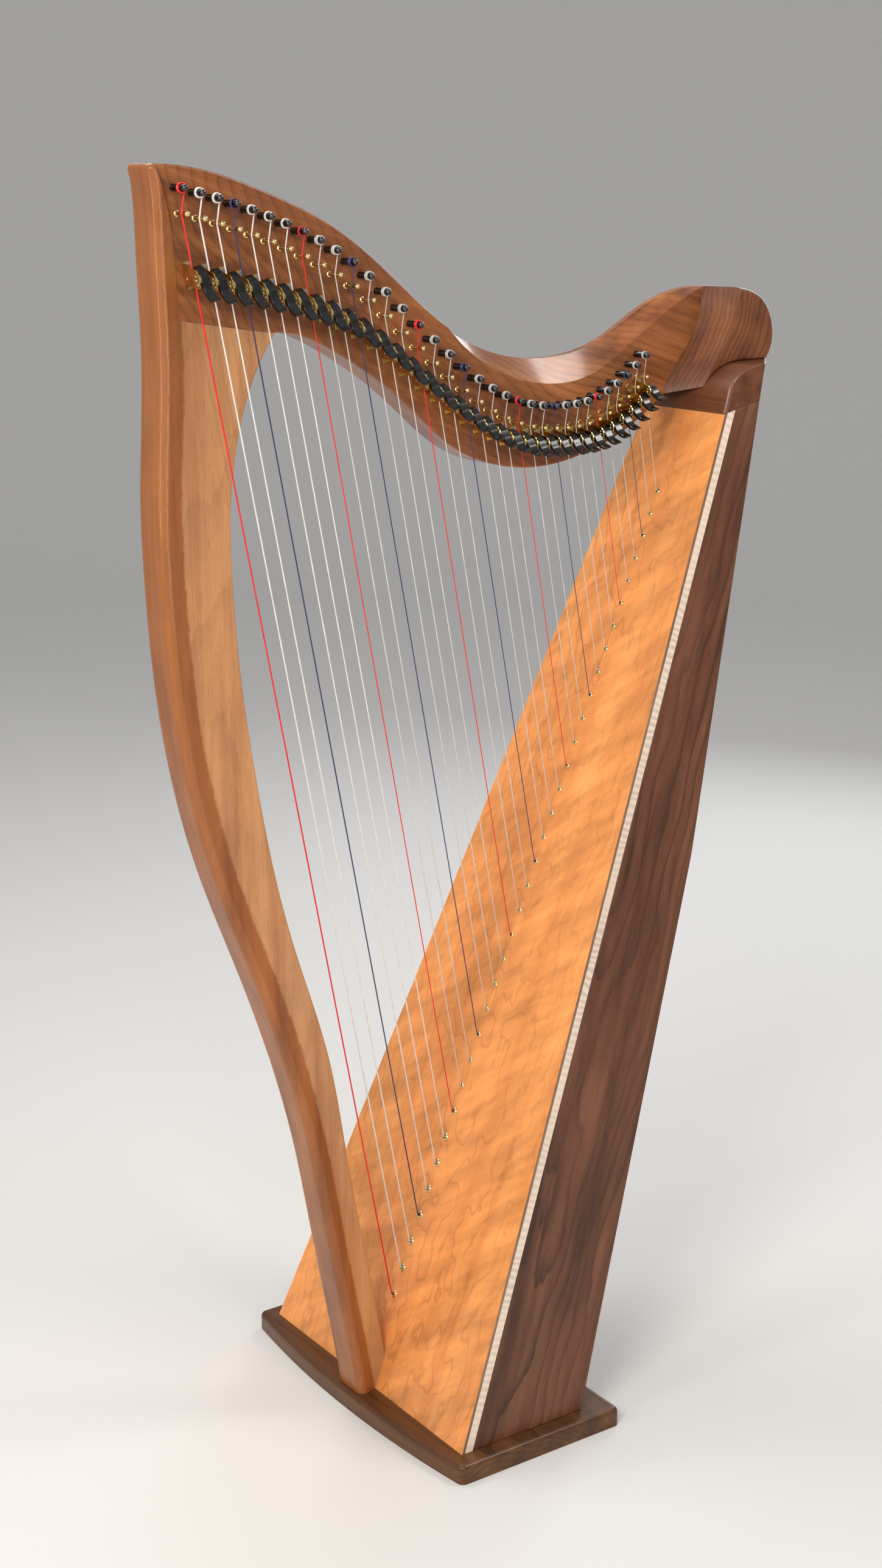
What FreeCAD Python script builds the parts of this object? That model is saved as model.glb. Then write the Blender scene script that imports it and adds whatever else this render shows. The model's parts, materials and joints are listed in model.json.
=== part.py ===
import FreeCAD, Part
import math
import os

from FreeCAD import Vector

# A 34-string lever harp, in millimetres.
# The origin is on the underside of the base, below the foot of the soundboard and on
# the centre plane.  +X runs from the pillar towards the player, +Z is up, and -Y is the
# side that carries the tuning pins' string ends, the bridge pins and the levers.

X_AXIS = Vector(1, 0, 0)
Y_AXIS = Vector(0, 1, 0)
Z_AXIS = Vector(0, 0, 1)
ORIGIN = Vector(0, 0, 0)
FAR = 3000.0                       # half-space cutters are this long

# ---- driving dimensions: base and soundbox -------------------------------------------
BASE_TOP = 22.0                    # thickness of the base board
BASE_HALF_WIDTH = 216.0
BASE_FRONT = -15.0                 # front corners; the middle bows forward of them
BASE_FRONT_BOW = 16.0
BASE_BACK = 206.0
BASE_CORNER_RADIUS = 8.0
BASE_EDGE_RADIUS = 6.0

BOARD_ANGLE = 67.66                # soundboard above the horizontal, degrees
BOARD_THICKNESS = 3.5
BODY_HALF_WIDTH = 194.4            # soundbox half width at the base
BODY_TAPER = 0.1152                # half width lost per unit of height
BODY_DEPTH = 166.6                 # soundboard to back, along X, at the base
BODY_DEPTH_TAPER = 0.0755          # depth lost per unit of height
BODY_TOP = 1116.0                  # front upper end of the soundboard
BODY_TOP_RISE = 0.26               # slope of the soundbox's top end, towards the back
EDGE_STRIP_DEPTH = 10.0
EDGE_STRIP_WIDTH = 12.0
SIDE_THICKNESS = 8.0
BACK_THICKNESS = 6.0
FACET_START = 620.0                # height where the back corners begin to be bevelled
FACET_TOP = 1127.0
FACET_DEPTH = 35.0                 # size of the bevel along X at FACET_TOP
FACET_WIDTH = 38.0                 # size of the bevel along Y at FACET_TOP
SOUND_HOLES = [(235.0, 92.0, 52.0), (462.0, 80.0, 45.0), (668.0, 68.0, 37.0), (850.0, 56.0, 29.0)]
SOUND_HOLE_CUT = 120.0             # half length of the cutter of a sound hole

RIB_WIDTH = 32.0
RIB_DEPTH = 8.0
BOTTOM_BLOCK_HEIGHT = 34.0
LINING_SIZE = 11.0
BRACE_HEIGHTS = [345.0, 562.0, 756.0]
BRACE_THICKNESS = 12.0
BRACE_DEPTH = 22.0

# ---- driving dimensions: shoulder block, pillar and neck ------------------------------
BLOCK_HALF_WIDTH = 68.0
BLOCK_TOP = 1170.0
BLOCK_FRONT_RADIUS = 6.0

PILLAR_HALF_WIDTH = 25.0           # the wide front of the pillar
PILLAR_WEB = 20.5                  # half width of the flat sides behind it
PILLAR_EDGE_RADIUS = 9.0
PILLAR_BACK_RADIUS = 3.0
PILLAR_RIM_RADIUS = 5.0            # round the front of its top
PILLAR_RIM_END = -219.0            # and no further back than this X
COVE_LENGTH = 22.0
COVE_SHARE = 0.35                  # of a slender stretch's depth, at most
NECK_NEAR = 15.0                   # Y of the neck's face on the string side
NECK_THICKNESS = 42.0
NECK_MIDDLE = NECK_NEAR + 0.5 * NECK_THICKNESS
NECK_EDGE_RADIUS = 2.2
NECK_LONG_EDGE = 300.0             # the edges that run along the neck are longer than this
NECK_HOLLOW_TOP = 1100.0           # and those under its hollow come lower than this
RIDGE_HALF_WIDTH = 4.0             # flat left between the two scooped bevels on the neck
SHOULDER_NEAR = -25.0              # Y of the carved shoulder's face
SHOULDER_RIM_RADIUS = 5.0
SHOULDER_RIDGE_RADIUS = 3.5

# ---- driving dimensions: strings, pins and levers -------------------------------------
STRINGS = 34
STRING_LEAN = 10.8                 # strings lean this many degrees from the vertical
STRING_FAN = 0.15                  # the lowest leans this much more, the highest this much less
FIRST_STRING = 107.0               # distance up the soundboard to the lowest string
STRING_STEP = 32.8
STRING_STEP_LOSS = 0.0967
WOUND_STRINGS = 8
SEMITONE = 1.0 - 2.0 ** (-1.0 / 12.0)
LEVER_SHARE = 0.915                # pivot below the bridge pin, as a share of a semitone's length
LEVER_NEAREST = 15.8               # and never nearer to the bridge pin than this
PIN_RISE = 24.5                    # tuning pin above its bridge pin, along the string
PIN_SHIFT = 4.2                    # and across the string, towards the player
PIN_RADIUS = 3.6
PIN_REACH = 26.8                   # lowest tuning pin's length proud of the neck's face
PIN_REACH_LOSS = 3.6               # the highest tuning pin stands this much less proud
PIN_KEY_REACH = 24.0               # and on the far side, with its square end
PIN_KEY_SIDE = 5.2
PIN_KEY_LENGTH = 13.0
COIL_TURNS = 3                     # turns of string round each tuning pin
FIT = 0.04                         # running clearance, radial
GLUE_GAP = 0.35                    # glue line between the neck and the pillar
KNOT_HOLE_RADIUS = 1.3             # hole through the rib for the knotted end of a string
ANCHOR_RADIUS = 2.8
ANCHOR_HEIGHT = 4.0
EYELET_TUBE = 0.6                  # an eyelet's tube and bore, as shares of its flange
EYELET_BORE = 0.34
LONG_BRIDGE_PINS = 15              # the lowest strings have bridge pins of the longer size
BRIDGE_PIN_LONG = 21.7             # neck's face to the ball's middle
BRIDGE_PIN_SHORT = 18.4
BRIDGE_PIN_BALL = 1.45             # the ball on its end, as a share of its radius
BRIDGE_PIN_GROOVE = 0.45           # depth of the groove that the string lies in
STRING_HEIGHT = 2.4                # a string leaves its eyelet this far above the soundboard
COIL_SLACK = 0.12                  # air between a string's coil and its tuning pin
COIL_START = 1.5                   # a coil starts this many string radii on the neck's side
BRIDGE_PIN_WRAP = 0.18             # a string bends this share of its offset above the bridge pin
BORE_CLEAR = 2.0                   # a bore's cutter stands this far out of the wood
LEVER_TREBLE_SCALE = 0.8           # the levers' size at the top string
LEVER_PLATE = 2.0
LEVER_EAR_FAR = -3.1               # the bracket's ear stands beside the string
LEVER_EAR_NEAR = -1.9
LEVER_REST = 38.0                  # a lowered handle, from the string: bass, and how much
LEVER_REST_GAIN = 27.0             # further out the treble ones rest
LEVER_TRAVEL = 85.0
PIVOT_RADIUS = 1.25


def lean(shape, point):
    """Stand a shape made upright along the strings, at a point."""
    shape.rotate(ORIGIN, Y_AXIS, -STRING_LEAN)
    shape.translate(point)
    return shape


def run_edge(points, y):
    """A straight edge through two (x, z) points, or a smooth one through more."""
    places = [Vector(x, y, z) for x, z in points]
    if len(places) == 2:
        return Part.makeLine(places[0], places[1])
    curve = Part.BSplineCurve()
    curve.interpolate(places)
    return curve.toShape()


def outline(runs, y):
    return Part.Wire([run_edge(points, y) for points in runs])


def plank(runs, y_low, y_high):
    face = Part.Face(outline(runs, y_low))
    return face.extrude(Vector(0, y_high - y_low, 0))


def ring(radius, hole, height):
    body = Part.makeCylinder(radius, height)
    return body.cut(Part.makeCylinder(hole, height))


def revolved(points):
    """Turn a closed (radius, height) outline about the Z axis."""
    wire = Part.makePolygon([Vector(r, 0, h) for r, h in points + points[:1]])
    return Part.Face(wire).revolve(ORIGIN, Z_AXIS, 360)


def group(shapes):
    return Part.makeCompound(shapes)


# ---- soundbox geometry -----------------------------------------------------------------
BOARD_RUN = 1.0 / math.tan(math.radians(BOARD_ANGLE))
BOARD_SIN = math.sin(math.radians(BOARD_ANGLE))
BOARD_COS = math.cos(math.radians(BOARD_ANGLE))
BOARD_NORMAL = Vector(-BOARD_SIN, 0, BOARD_COS)
BACK_RUN = BOARD_RUN - BODY_DEPTH_TAPER
BODY_TOP_X = (BODY_TOP - BASE_TOP) * BOARD_RUN


def front_line(inset):
    """A plane parallel to the soundboard, as (x at the base, run per unit of height)."""
    return (inset / BOARD_SIN, BOARD_RUN)


def back_line(inset):
    return (BODY_DEPTH - inset * math.hypot(1.0, BACK_RUN), BACK_RUN)


def side_line(inset, sign):
    width = BODY_HALF_WIDTH - inset * math.hypot(1.0, BODY_TAPER)
    return (sign * width, -sign * BODY_TAPER)


def body_corner(x_line, y_line, upper):
    """Where two of the soundbox's planes meet its lower or upper end."""
    x_base, x_run = x_line
    z = BASE_TOP
    if upper:
        reach = BODY_TOP + BODY_TOP_RISE * (x_base - x_run * BASE_TOP - BODY_TOP_X)
        z = reach / (1.0 - BODY_TOP_RISE * x_run)
    height = z - BASE_TOP
    return Vector(x_base + x_run * height, y_line[0] + y_line[1] * height, z)


def body_piece(front, back, left, right):
    """A six-faced piece of the soundbox between four of its planes."""
    low = [body_corner(a, b, False) for a, b in
           ((front, left), (back, left), (back, right), (front, right))]
    top = [body_corner(a, b, True) for a, b in
           ((front, left), (back, left), (back, right), (front, right))]
    loops = [low, top]
    for k in range(4):
        n = (k + 1) % 4
        loops.append([low[k], low[n], top[n], top[k]])
    faces = [Part.Face(Part.makePolygon(loop + loop[:1])) for loop in loops]
    solid = Part.Solid(Part.Shell(faces))
    if solid.Volume < 0:
        solid.reverse()
    return solid


def board_x(z):
    return (z - BASE_TOP) * BOARD_RUN


def half_width(z):
    return BODY_HALF_WIDTH - (z - BASE_TOP) * BODY_TAPER


def beyond(point, normal):
    """Everything on the far side of a plane."""
    block = Part.makeBox(2 * FAR, 2 * FAR, FAR, Vector(-FAR, -FAR, 0))
    block.Placement = FreeCAD.Placement(point, FreeCAD.Rotation(Z_AXIS, normal))
    return block


def facet(inset, sign):
    """The bevel that grows along one back corner of the soundbox."""
    back_base, back_run = back_line(0)
    start = Vector(back_base + back_run * (FACET_START - BASE_TOP), sign * half_width(FACET_START),
                   FACET_START)
    back_x = back_base + back_run * (FACET_TOP - BASE_TOP)
    width = half_width(FACET_TOP)
    on_side = Vector(back_x - FACET_DEPTH, sign * width, FACET_TOP)
    on_back = Vector(back_x, sign * (width - FACET_WIDTH), FACET_TOP)
    normal = (on_side - start).cross(on_back - start)
    if normal.x < 0:
        normal = normal * -1.0
    normal.normalize()
    return beyond(start - normal * inset, normal)


def body_shell(front, back, side, facet_inset):
    solid = body_piece(front_line(front), back_line(back), side_line(side, -1), side_line(side, 1))
    for sign in (-1, 1):
        solid = solid.cut(facet(facet_inset, sign))
    return solid


def board_point(distance, height=0.0):
    """A point at a distance up the soundboard's centre line and above its face."""
    along = Vector(BOARD_COS, 0, BOARD_SIN) * distance
    return along + BOARD_NORMAL * height + Vector(0, 0, BASE_TOP)


def on_board(shape, distance, height=0.0):
    shape.rotate(ORIGIN, Y_AXIS, -BOARD_ANGLE)
    shape.translate(board_point(distance, height))
    return shape


# ---- string layout ----------------------------------------------------------------------
LEAN_SIN = math.sin(math.radians(STRING_LEAN))
LEAN_COS = math.cos(math.radians(STRING_LEAN))
UP_STRING = Vector(-LEAN_SIN, 0, LEAN_COS)
ACROSS = Vector(LEAN_COS, 0, LEAN_SIN)
BRIDGE_CURVE = run_edge([(-245, 1353), (-198, 1343), (-98, 1314), (1, 1266), (62, 1216.5), (121, 1168),
                         (177, 1130), (225, 1111.5), (273, 1106.4), (318.5, 1112.3), (346, 1125),
                         (386.5, 1155), (410, 1176)], 0)


class StringPlace:
    """Where one string, its pins and its lever are."""

    def __init__(self, index):
        share = index / (STRINGS - 1.0)
        self.number = index + 1
        self.distance = FIRST_STRING + STRING_STEP * index - STRING_STEP_LOSS * index ** 2
        self.wound = index < WOUND_STRINGS
        self.radius = 0.9 - 0.035 * index if self.wound else 0.78 - 0.42 * share
        self.eyelet = 5.0 if self.wound else 3.5
        self.foot = board_point(self.distance, STRING_HEIGHT + self.radius)
        angle = math.radians(STRING_LEAN + STRING_FAN * (1.0 - 2.0 * share))
        aim = board_point(self.distance)
        line = Part.makeLine(aim, aim + Vector(-math.sin(angle), 0, math.cos(angle)) * FAR)
        self.nut = line.distToShape(BRIDGE_CURVE)[1][0][0]
        speaking = self.nut - self.foot
        self.length = speaking.Length
        self.up = speaking / self.length
        self.scale = 1.0 - (1.0 - LEVER_TREBLE_SCALE) * share
        self.nut_radius = 2.2 - 0.5 * share
        self.nut_reach = BRIDGE_PIN_LONG if index < LONG_BRIDGE_PINS else BRIDGE_PIN_SHORT
        self.nut_axis = self.nut + ACROSS * (self.nut_radius + self.radius - BRIDGE_PIN_GROOVE)
        self.pin_axis = self.nut + UP_STRING * PIN_RISE + ACROSS * PIN_SHIFT
        self.pin_reach = PIN_REACH - PIN_REACH_LOSS * share
        self.lever_drop = max(LEVER_SHARE * SEMITONE * self.length, LEVER_NEAREST)
        self.lever_point = self.nut - self.up * self.lever_drop
        self.pivot_reach = NECK_NEAR + 1.3 + 6.2 * self.scale
        self.ear_top = min(17.5 * self.scale, self.lever_drop - 3.2)
        self.handle_start = 1.7 - 0.5 * share
        self.handle_width = 9.4 - 0.6 * share
        self.handle_rest = math.radians(LEVER_REST + LEVER_REST_GAIN * share)


PLACES = [StringPlace(index) for index in range(STRINGS)]


def on_neck(point):
    """The point of the neck's face behind a point of the string band."""
    return Vector(point.x, NECK_NEAR, point.z)


def out_cylinder(radius, low, high, across=0.0, up=0.0):
    """A cylinder standing straight out of the neck's face, from low to high."""
    return Part.makeCylinder(radius, high - low, Vector(across, -low, up), Vector(0, -1, 0))


# ---- pieces: base and soundbox -----------------------------------------------------------
def screw_places():
    """(x, y) of the screws that hold the base to the soundbox."""
    return [(x, y) for x in (45.0, 125.0) for y in (-140.0, 0.0, 140.0)]


SCREW_RADIUS = 2.5
SCREW_HEAD_RADIUS = 5.0
SCREW_HEAD_HEIGHT = 4.0
SCREW_RECESS = 1.5
SCREW_LENGTH = 44.0


def base_screw(clearance):
    head = Part.makeCone(SCREW_HEAD_RADIUS + clearance, SCREW_RADIUS + clearance, SCREW_HEAD_HEIGHT,
                         Vector(0, 0, SCREW_RECESS))
    shank_foot = SCREW_RECESS + SCREW_HEAD_HEIGHT
    shank = Part.makeCylinder(SCREW_RADIUS + clearance, SCREW_LENGTH - SCREW_HEAD_HEIGHT,
                              Vector(0, 0, shank_foot))
    return head.fuse(shank)


def base_screw_set(clearance):
    screws = []
    for x, y in screw_places():
        screw = base_screw(clearance)
        screw.translate(Vector(x, y, 0))
        screws.append(screw)
    return screws


def make_base_board():
    front_left = Vector(BASE_FRONT, -BASE_HALF_WIDTH, 0)
    front_right = Vector(BASE_FRONT, BASE_HALF_WIDTH, 0)
    front_middle = Vector(BASE_FRONT - BASE_FRONT_BOW, 0, 0)
    back_left = Vector(BASE_BACK, -BASE_HALF_WIDTH, 0)
    back_right = Vector(BASE_BACK, BASE_HALF_WIDTH, 0)
    wire = Part.Wire([Part.Arc(front_right, front_middle, front_left).toShape(),
                      Part.makeLine(front_left, back_left),
                      Part.makeLine(back_left, back_right),
                      Part.makeLine(back_right, front_right)])
    board = Part.Face(wire).extrude(Vector(0, 0, BASE_TOP))
    corners = [e for e in board.Edges if abs(e.tangentAt(e.FirstParameter).z) > 0.99]
    board = board.makeFillet(BASE_CORNER_RADIUS, corners)
    rim = [e for e in board.Edges if abs(e.CenterOfMass.z - BASE_TOP) < 0.01]
    board = board.makeFillet(BASE_EDGE_RADIUS, rim)
    for screw in base_screw_set(FIT):
        board = board.cut(screw)
    for x, y in screw_places():
        board = board.cut(Part.makeCylinder(SCREW_HEAD_RADIUS + FIT, SCREW_RECESS, Vector(x, y, 0)))
    return board


def make_base_screws():
    return group(base_screw_set(0.0))


def make_soundboard():
    board = body_piece(front_line(0), front_line(BOARD_THICKNESS), side_line(0, -1), side_line(0, 1))
    for place in PLACES:
        tube = Part.makeCylinder(EYELET_TUBE * place.eyelet, 4 * BOARD_THICKNESS)
        hole = on_board(tube, place.distance, -2 * BOARD_THICKNESS)
        board = board.cut(hole)
    return board


def make_string_rib():
    rib = body_piece(front_line(BOARD_THICKNESS), front_line(BOARD_THICKNESS + RIB_DEPTH),
                     (-0.5 * RIB_WIDTH, 0), (0.5 * RIB_WIDTH, 0))
    low_end = Part.makeBox(FAR, FAR, BASE_TOP + BOTTOM_BLOCK_HEIGHT, Vector(-0.5 * FAR, -0.5 * FAR, 0))
    rib = rib.cut(low_end)
    for place in PLACES:
        hole = Part.makeCylinder(KNOT_HOLE_RADIUS, 4 * RIB_DEPTH)
        rib = rib.cut(on_board(hole, place.distance, -3 * RIB_DEPTH))
    return rib


def make_edge_strip(sign):
    front = front_line(BOARD_THICKNESS)
    back = front_line(BOARD_THICKNESS + EDGE_STRIP_DEPTH)
    return body_piece(front, back, side_line(0, sign), side_line(EDGE_STRIP_WIDTH, sign))


def make_side_panel(sign):
    front = front_line(BOARD_THICKNESS + EDGE_STRIP_DEPTH)
    outer = body_piece(front, back_line(0), side_line(0, sign), (0.0, 0.0))
    outer = outer.cut(facet(0, sign))
    # The inside is a wider, deeper box, so the panel is only its side and its bevel.
    inner = body_piece(front_line(-FAR), back_line(-FAR), side_line(SIDE_THICKNESS, sign),
                       (-sign * FAR, 0.0))
    inner = inner.cut(facet(SIDE_THICKNESS, sign))
    return outer.cut(inner)


def sound_hole(height, half_height, half_hole_width):
    """An oval bar across the back panel."""
    oval = Part.Ellipse(ORIGIN, half_height, half_hole_width).toShape()
    bar = Part.Face(Part.Wire(oval)).extrude(Vector(0, 0, 2 * SOUND_HOLE_CUT))
    bar.translate(Vector(0, 0, -SOUND_HOLE_CUT))
    back_base, back_run = back_line(0)
    bar.rotate(ORIGIN, Y_AXIS, -math.degrees(math.atan2(1.0, back_run)))
    bar.translate(Vector(back_base + back_run * (height - BASE_TOP), 0, height))
    return bar


def make_back_panel():
    panel = body_piece(back_line(BACK_THICKNESS), back_line(0), side_line(SIDE_THICKNESS, -1),
                       side_line(SIDE_THICKNESS, 1))
    for sign in (-1, 1):
        panel = panel.cut(facet(SIDE_THICKNESS, sign))
    for hole in SOUND_HOLES:
        panel = panel.cut(sound_hole(*hole))
    return panel


def cavity():
    return body_shell(BOARD_THICKNESS + EDGE_STRIP_DEPTH, BACK_THICKNESS, SIDE_THICKNESS,
                      SIDE_THICKNESS)


def make_bottom_block():
    room = body_piece(front_line(BOARD_THICKNESS), back_line(BACK_THICKNESS),
                      side_line(EDGE_STRIP_WIDTH, -1), side_line(EDGE_STRIP_WIDTH, 1))
    slice_box = Part.makeBox(FAR, FAR, BASE_TOP + BOTTOM_BLOCK_HEIGHT, Vector(-0.5 * FAR, -0.5 * FAR, 0))
    block = room.common(slice_box)
    for screw in base_screw_set(FIT):
        block = block.cut(screw)
    return block


def make_soundbox_braces():
    """Two linings along the back corners and three braces across the back."""
    room = cavity()
    strips = room.cut(body_shell(-FAR, -FAR, SIDE_THICKNESS + LINING_SIZE,
                                 SIDE_THICKNESS + LINING_SIZE))
    back_zone = room.cut(body_shell(-FAR, BACK_THICKNESS + LINING_SIZE, -FAR, -FAR))
    strips = strips.common(back_zone)
    above = Part.makeBox(FAR, FAR, FAR, Vector(-0.5 * FAR, -0.5 * FAR, BASE_TOP + BOTTOM_BLOCK_HEIGHT))
    strips = strips.common(above)
    middle = body_shell(-FAR, -FAR, SIDE_THICKNESS + LINING_SIZE, SIDE_THICKNESS + LINING_SIZE)
    bars = []
    depth_zone = room.cut(body_shell(-FAR, BACK_THICKNESS + BRACE_DEPTH, -FAR, -FAR)).common(middle)
    for height in BRACE_HEIGHTS:
        layer = Part.makeBox(FAR, FAR, BRACE_THICKNESS, Vector(-0.5 * FAR, -0.5 * FAR, height))
        bars.append(depth_zone.common(layer))
    return group(strips.Solids + [solid for bar in bars for solid in bar.Solids])


# ---- pieces: shoulder block, pillar, neck and shoulder -------------------------------------
BLOCK_CREST = [(456, 1143), (463, 1151), (478, 1162), (498, 1168.5), (515, BLOCK_TOP)]


def make_shoulder_block():
    back_base, back_run = back_line(0)
    low_back = body_corner(back_line(0), (0, 0), True)
    high_back = (back_base + back_run * (BLOCK_TOP - BASE_TOP), BLOCK_TOP)
    front_low = (BODY_TOP_X, BODY_TOP)
    runs = [[front_low, BLOCK_CREST[0]], BLOCK_CREST, [BLOCK_CREST[-1], high_back],
            [high_back, (low_back.x, low_back.z)], [(low_back.x, low_back.z), front_low]]
    block = plank(runs, -BLOCK_HALF_WIDTH, BLOCK_HALF_WIDTH)
    for sign in (-1, 1):
        block = block.cut(facet(0, sign))
    corners = [e for e in block.Edges if e.BoundBox.XMax < BLOCK_CREST[0][0] + 1
               and e.BoundBox.YLength < 1]
    return block.makeFillet(BLOCK_FRONT_RADIUS, corners)


# Stations up the pillar: height, front face, inner edge.
PILLAR_STATIONS = [(0, -21, 34), (60, -28, 17), (151, -44, 1), (252, -61, -17), (336, -76, -30),
                   (438, -102, -47), (563, -144, -83), (664, -180, -108), (779, -208, -127),
                   (880, -221, -139), (979, -226, -144), (1060, -226, -142), (1121, -222, -131),
                   (1183, -218, -109), (1241, -217, -72), (1315, -219, -40), (1390, -226, -40)]
PILLAR_FOOT_CENTRE = 0.0
PILLAR_LEAN = (NECK_MIDDLE - PILLAR_FOOT_CENTRE) / (1241.0 - BASE_TOP)


def pillar_centre(z):
    """The pillar leans sideways, so that the strings come up over the soundboard's middle."""
    return min(PILLAR_FOOT_CENTRE + PILLAR_LEAN * (z - BASE_TOP), NECK_MIDDLE)


def pillar_section(z, front, back):
    middle = pillar_centre(z)
    cove_end = front + PILLAR_EDGE_RADIUS + min(COVE_LENGTH, COVE_SHARE * (back - front))
    cove_start = front + PILLAR_EDGE_RADIUS
    cove_middle = 0.5 * (cove_start + cove_end)
    cove_bite = PILLAR_WEB + 0.3 * (PILLAR_HALF_WIDTH - PILLAR_WEB)
    round_back = back - PILLAR_BACK_RADIUS

    def place(x, y):
        return Vector(x, middle + y, z)

    def arc(a, b, c):
        return Part.Arc(place(*a), place(*b), place(*c)).toShape()

    def line(a, b):
        return Part.makeLine(place(*a), place(*b))

    edges = []
    flat = PILLAR_HALF_WIDTH - PILLAR_EDGE_RADIUS
    turn = PILLAR_EDGE_RADIUS * (1.0 - math.sqrt(0.5))
    back_flat = PILLAR_WEB - PILLAR_BACK_RADIUS
    back_turn = PILLAR_BACK_RADIUS * (1.0 - math.sqrt(0.5))
    for sign in (1, -1):
        side = [arc((front, sign * flat), (front + turn, sign * (PILLAR_HALF_WIDTH - turn)),
                    (cove_start, sign * PILLAR_HALF_WIDTH)),
                arc((cove_start, sign * PILLAR_HALF_WIDTH), (cove_middle, sign * cove_bite),
                    (cove_end, sign * PILLAR_WEB)),
                line((cove_end, sign * PILLAR_WEB), (round_back, sign * PILLAR_WEB)),
                arc((round_back, sign * PILLAR_WEB), (back - back_turn, sign * (PILLAR_WEB - back_turn)),
                    (back, sign * back_flat))]
        edges.append(side)
    first, second = edges
    loop = first + [line((back, back_flat), (back, -back_flat))] + second[::-1]
    loop.append(line((front, -flat), (front, flat)))
    return Part.Wire(loop)


# The pillar's lap: the neck sits on its shoulder and behind its front.
LAP_FRONT = [(-195, 1241), (-196, 1292), (-204, 1349), (-218, 1390)]
LAP_BOTTOM = [(-87, 1224), (-195, 1241)]


def make_pillar():
    pillar = Part.makeLoft([pillar_section(*station) for station in PILLAR_STATIONS], True, False)
    lap = plank([LAP_FRONT, [LAP_FRONT[-1], (-200, 1420)], [(-200, 1420), (60, 1420)],
                 [(60, 1420), (60, 1201)], [(60, 1201), LAP_FRONT[0]]], -100, 200)
    lap.translate(Vector(-GLUE_GAP, 0, -GLUE_GAP))
    pillar = pillar.cut(lap)
    foot = Part.makeBox(FAR, FAR, BASE_TOP, Vector(-0.5 * FAR, -0.5 * FAR, 0))
    pillar = pillar.cut(foot)
    pillar = pillar.cut(beyond(Vector(0, 0, BASE_TOP), BOARD_NORMAL * -1.0))
    top = PILLAR_STATIONS[-1][0]
    rim = [e for e in pillar.Edges if e.BoundBox.ZMin > top - 1 and e.CenterOfMass.x < PILLAR_RIM_END]
    return pillar.makeFillet(PILLAR_RIM_RADIUS, rim)


NECK_TOP = [(-218, 1390), (-144, 1380), (-90, 1362), (-19, 1331), (55, 1279), (128, 1222), (192, 1192),
            (264, 1181), (344, 1196), (414, 1234), (455, 1248), (505, 1252), (543, 1238), (560, 1205),
            (551.5, BLOCK_TOP)]
NECK_UNDER = [(430, 1134.5), (400, 1111), (350, 1085), (297, 1069), (247, 1063.5), (194, 1070),
              (145, 1088), (97, 1124), (44, 1167), (-10, 1200), (-48, 1218), (-87, 1224)]


def neck_runs():
    foot = [[NECK_TOP[-1], BLOCK_CREST[-1]], BLOCK_CREST[::-1], [BLOCK_CREST[0], NECK_UNDER[0]]]
    return [LAP_FRONT, NECK_TOP] + foot + [NECK_UNDER, LAP_BOTTOM]


# The scooped bevel along the neck's hollow: its crease on the face and its ridge on top.
CREASE = [(124, 1226), (160, 1192), (213, 1165), (270, 1154), (325, 1162), (374, 1190), (440, 1231),
          (488, 1254)]
RIDGE = [(124, 1226), (160, 1208), (213, 1187.5), (270, 1181), (325, 1190.5), (374, 1210), (440, 1244),
         (488, 1254)]
# On the far side it runs on over the top of the shoulder.
FAR_CREASE = CREASE[:-1] + [(480, 1238), (512, 1239), (534, 1226), (545, 1203)]
FAR_RIDGE = RIDGE[:-1] + [(480, 1252.5), (512, 1252.5), (543, 1239.5), (562, 1203)]
BEVEL_CLEAR = 1300.0
BEVEL_END = 620.0


def bevel_loop(points, y, end):
    """The bevel's outline on one plane: its lower edge, closed well above the neck."""
    first, last = points[0], points[-1]
    runs = [points]
    if end > last[0]:
        runs.append([last, (end, last[1])])
    runs += [[runs[-1][-1], (end, BEVEL_CLEAR)], [(end, BEVEL_CLEAR), (first[0], BEVEL_CLEAR)],
             [(first[0], BEVEL_CLEAR), first]]
    return outline(runs, y)


def bevel_cutter(sign, crease, ridge, end):
    face_y = NECK_MIDDLE + sign * (0.5 * NECK_THICKNESS)
    ridge_y = NECK_MIDDLE + sign * RIDGE_HALF_WIDTH
    # Carry the sloping surface a little past the face, so the cut runs clean through it.
    over = 1.0 / abs(face_y - ridge_y)
    past = [(x - over * (top_x - x), z - over * (top - z)) for (x, z), (top_x, top) in zip(crease, ridge)]
    loops = [bevel_loop(past, face_y + sign, max(end, past[-1][0])), bevel_loop(ridge, ridge_y, end)]
    return Part.makeLoft(loops, True, True)


def make_neck():
    neck = plank(neck_runs(), NECK_NEAR, NECK_NEAR + NECK_THICKNESS)
    neck = neck.cut(bevel_cutter(-1, CREASE, RIDGE, RIDGE[-1][0]))
    neck = neck.cut(bevel_cutter(1, FAR_CREASE, FAR_RIDGE, BEVEL_END))
    long_edges = [e for e in neck.Edges if e.BoundBox.YLength < 0.1 and e.Length > NECK_LONG_EDGE]
    top = [e for e in long_edges if e.BoundBox.ZMax > NECK_TOP[0][1] - 5]
    under = [e for e in long_edges if e.BoundBox.ZMin < NECK_HOLLOW_TOP]
    neck = neck.makeFillet(NECK_EDGE_RADIUS, top + under)
    return neck.cut(group(neck_bores()))


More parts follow.
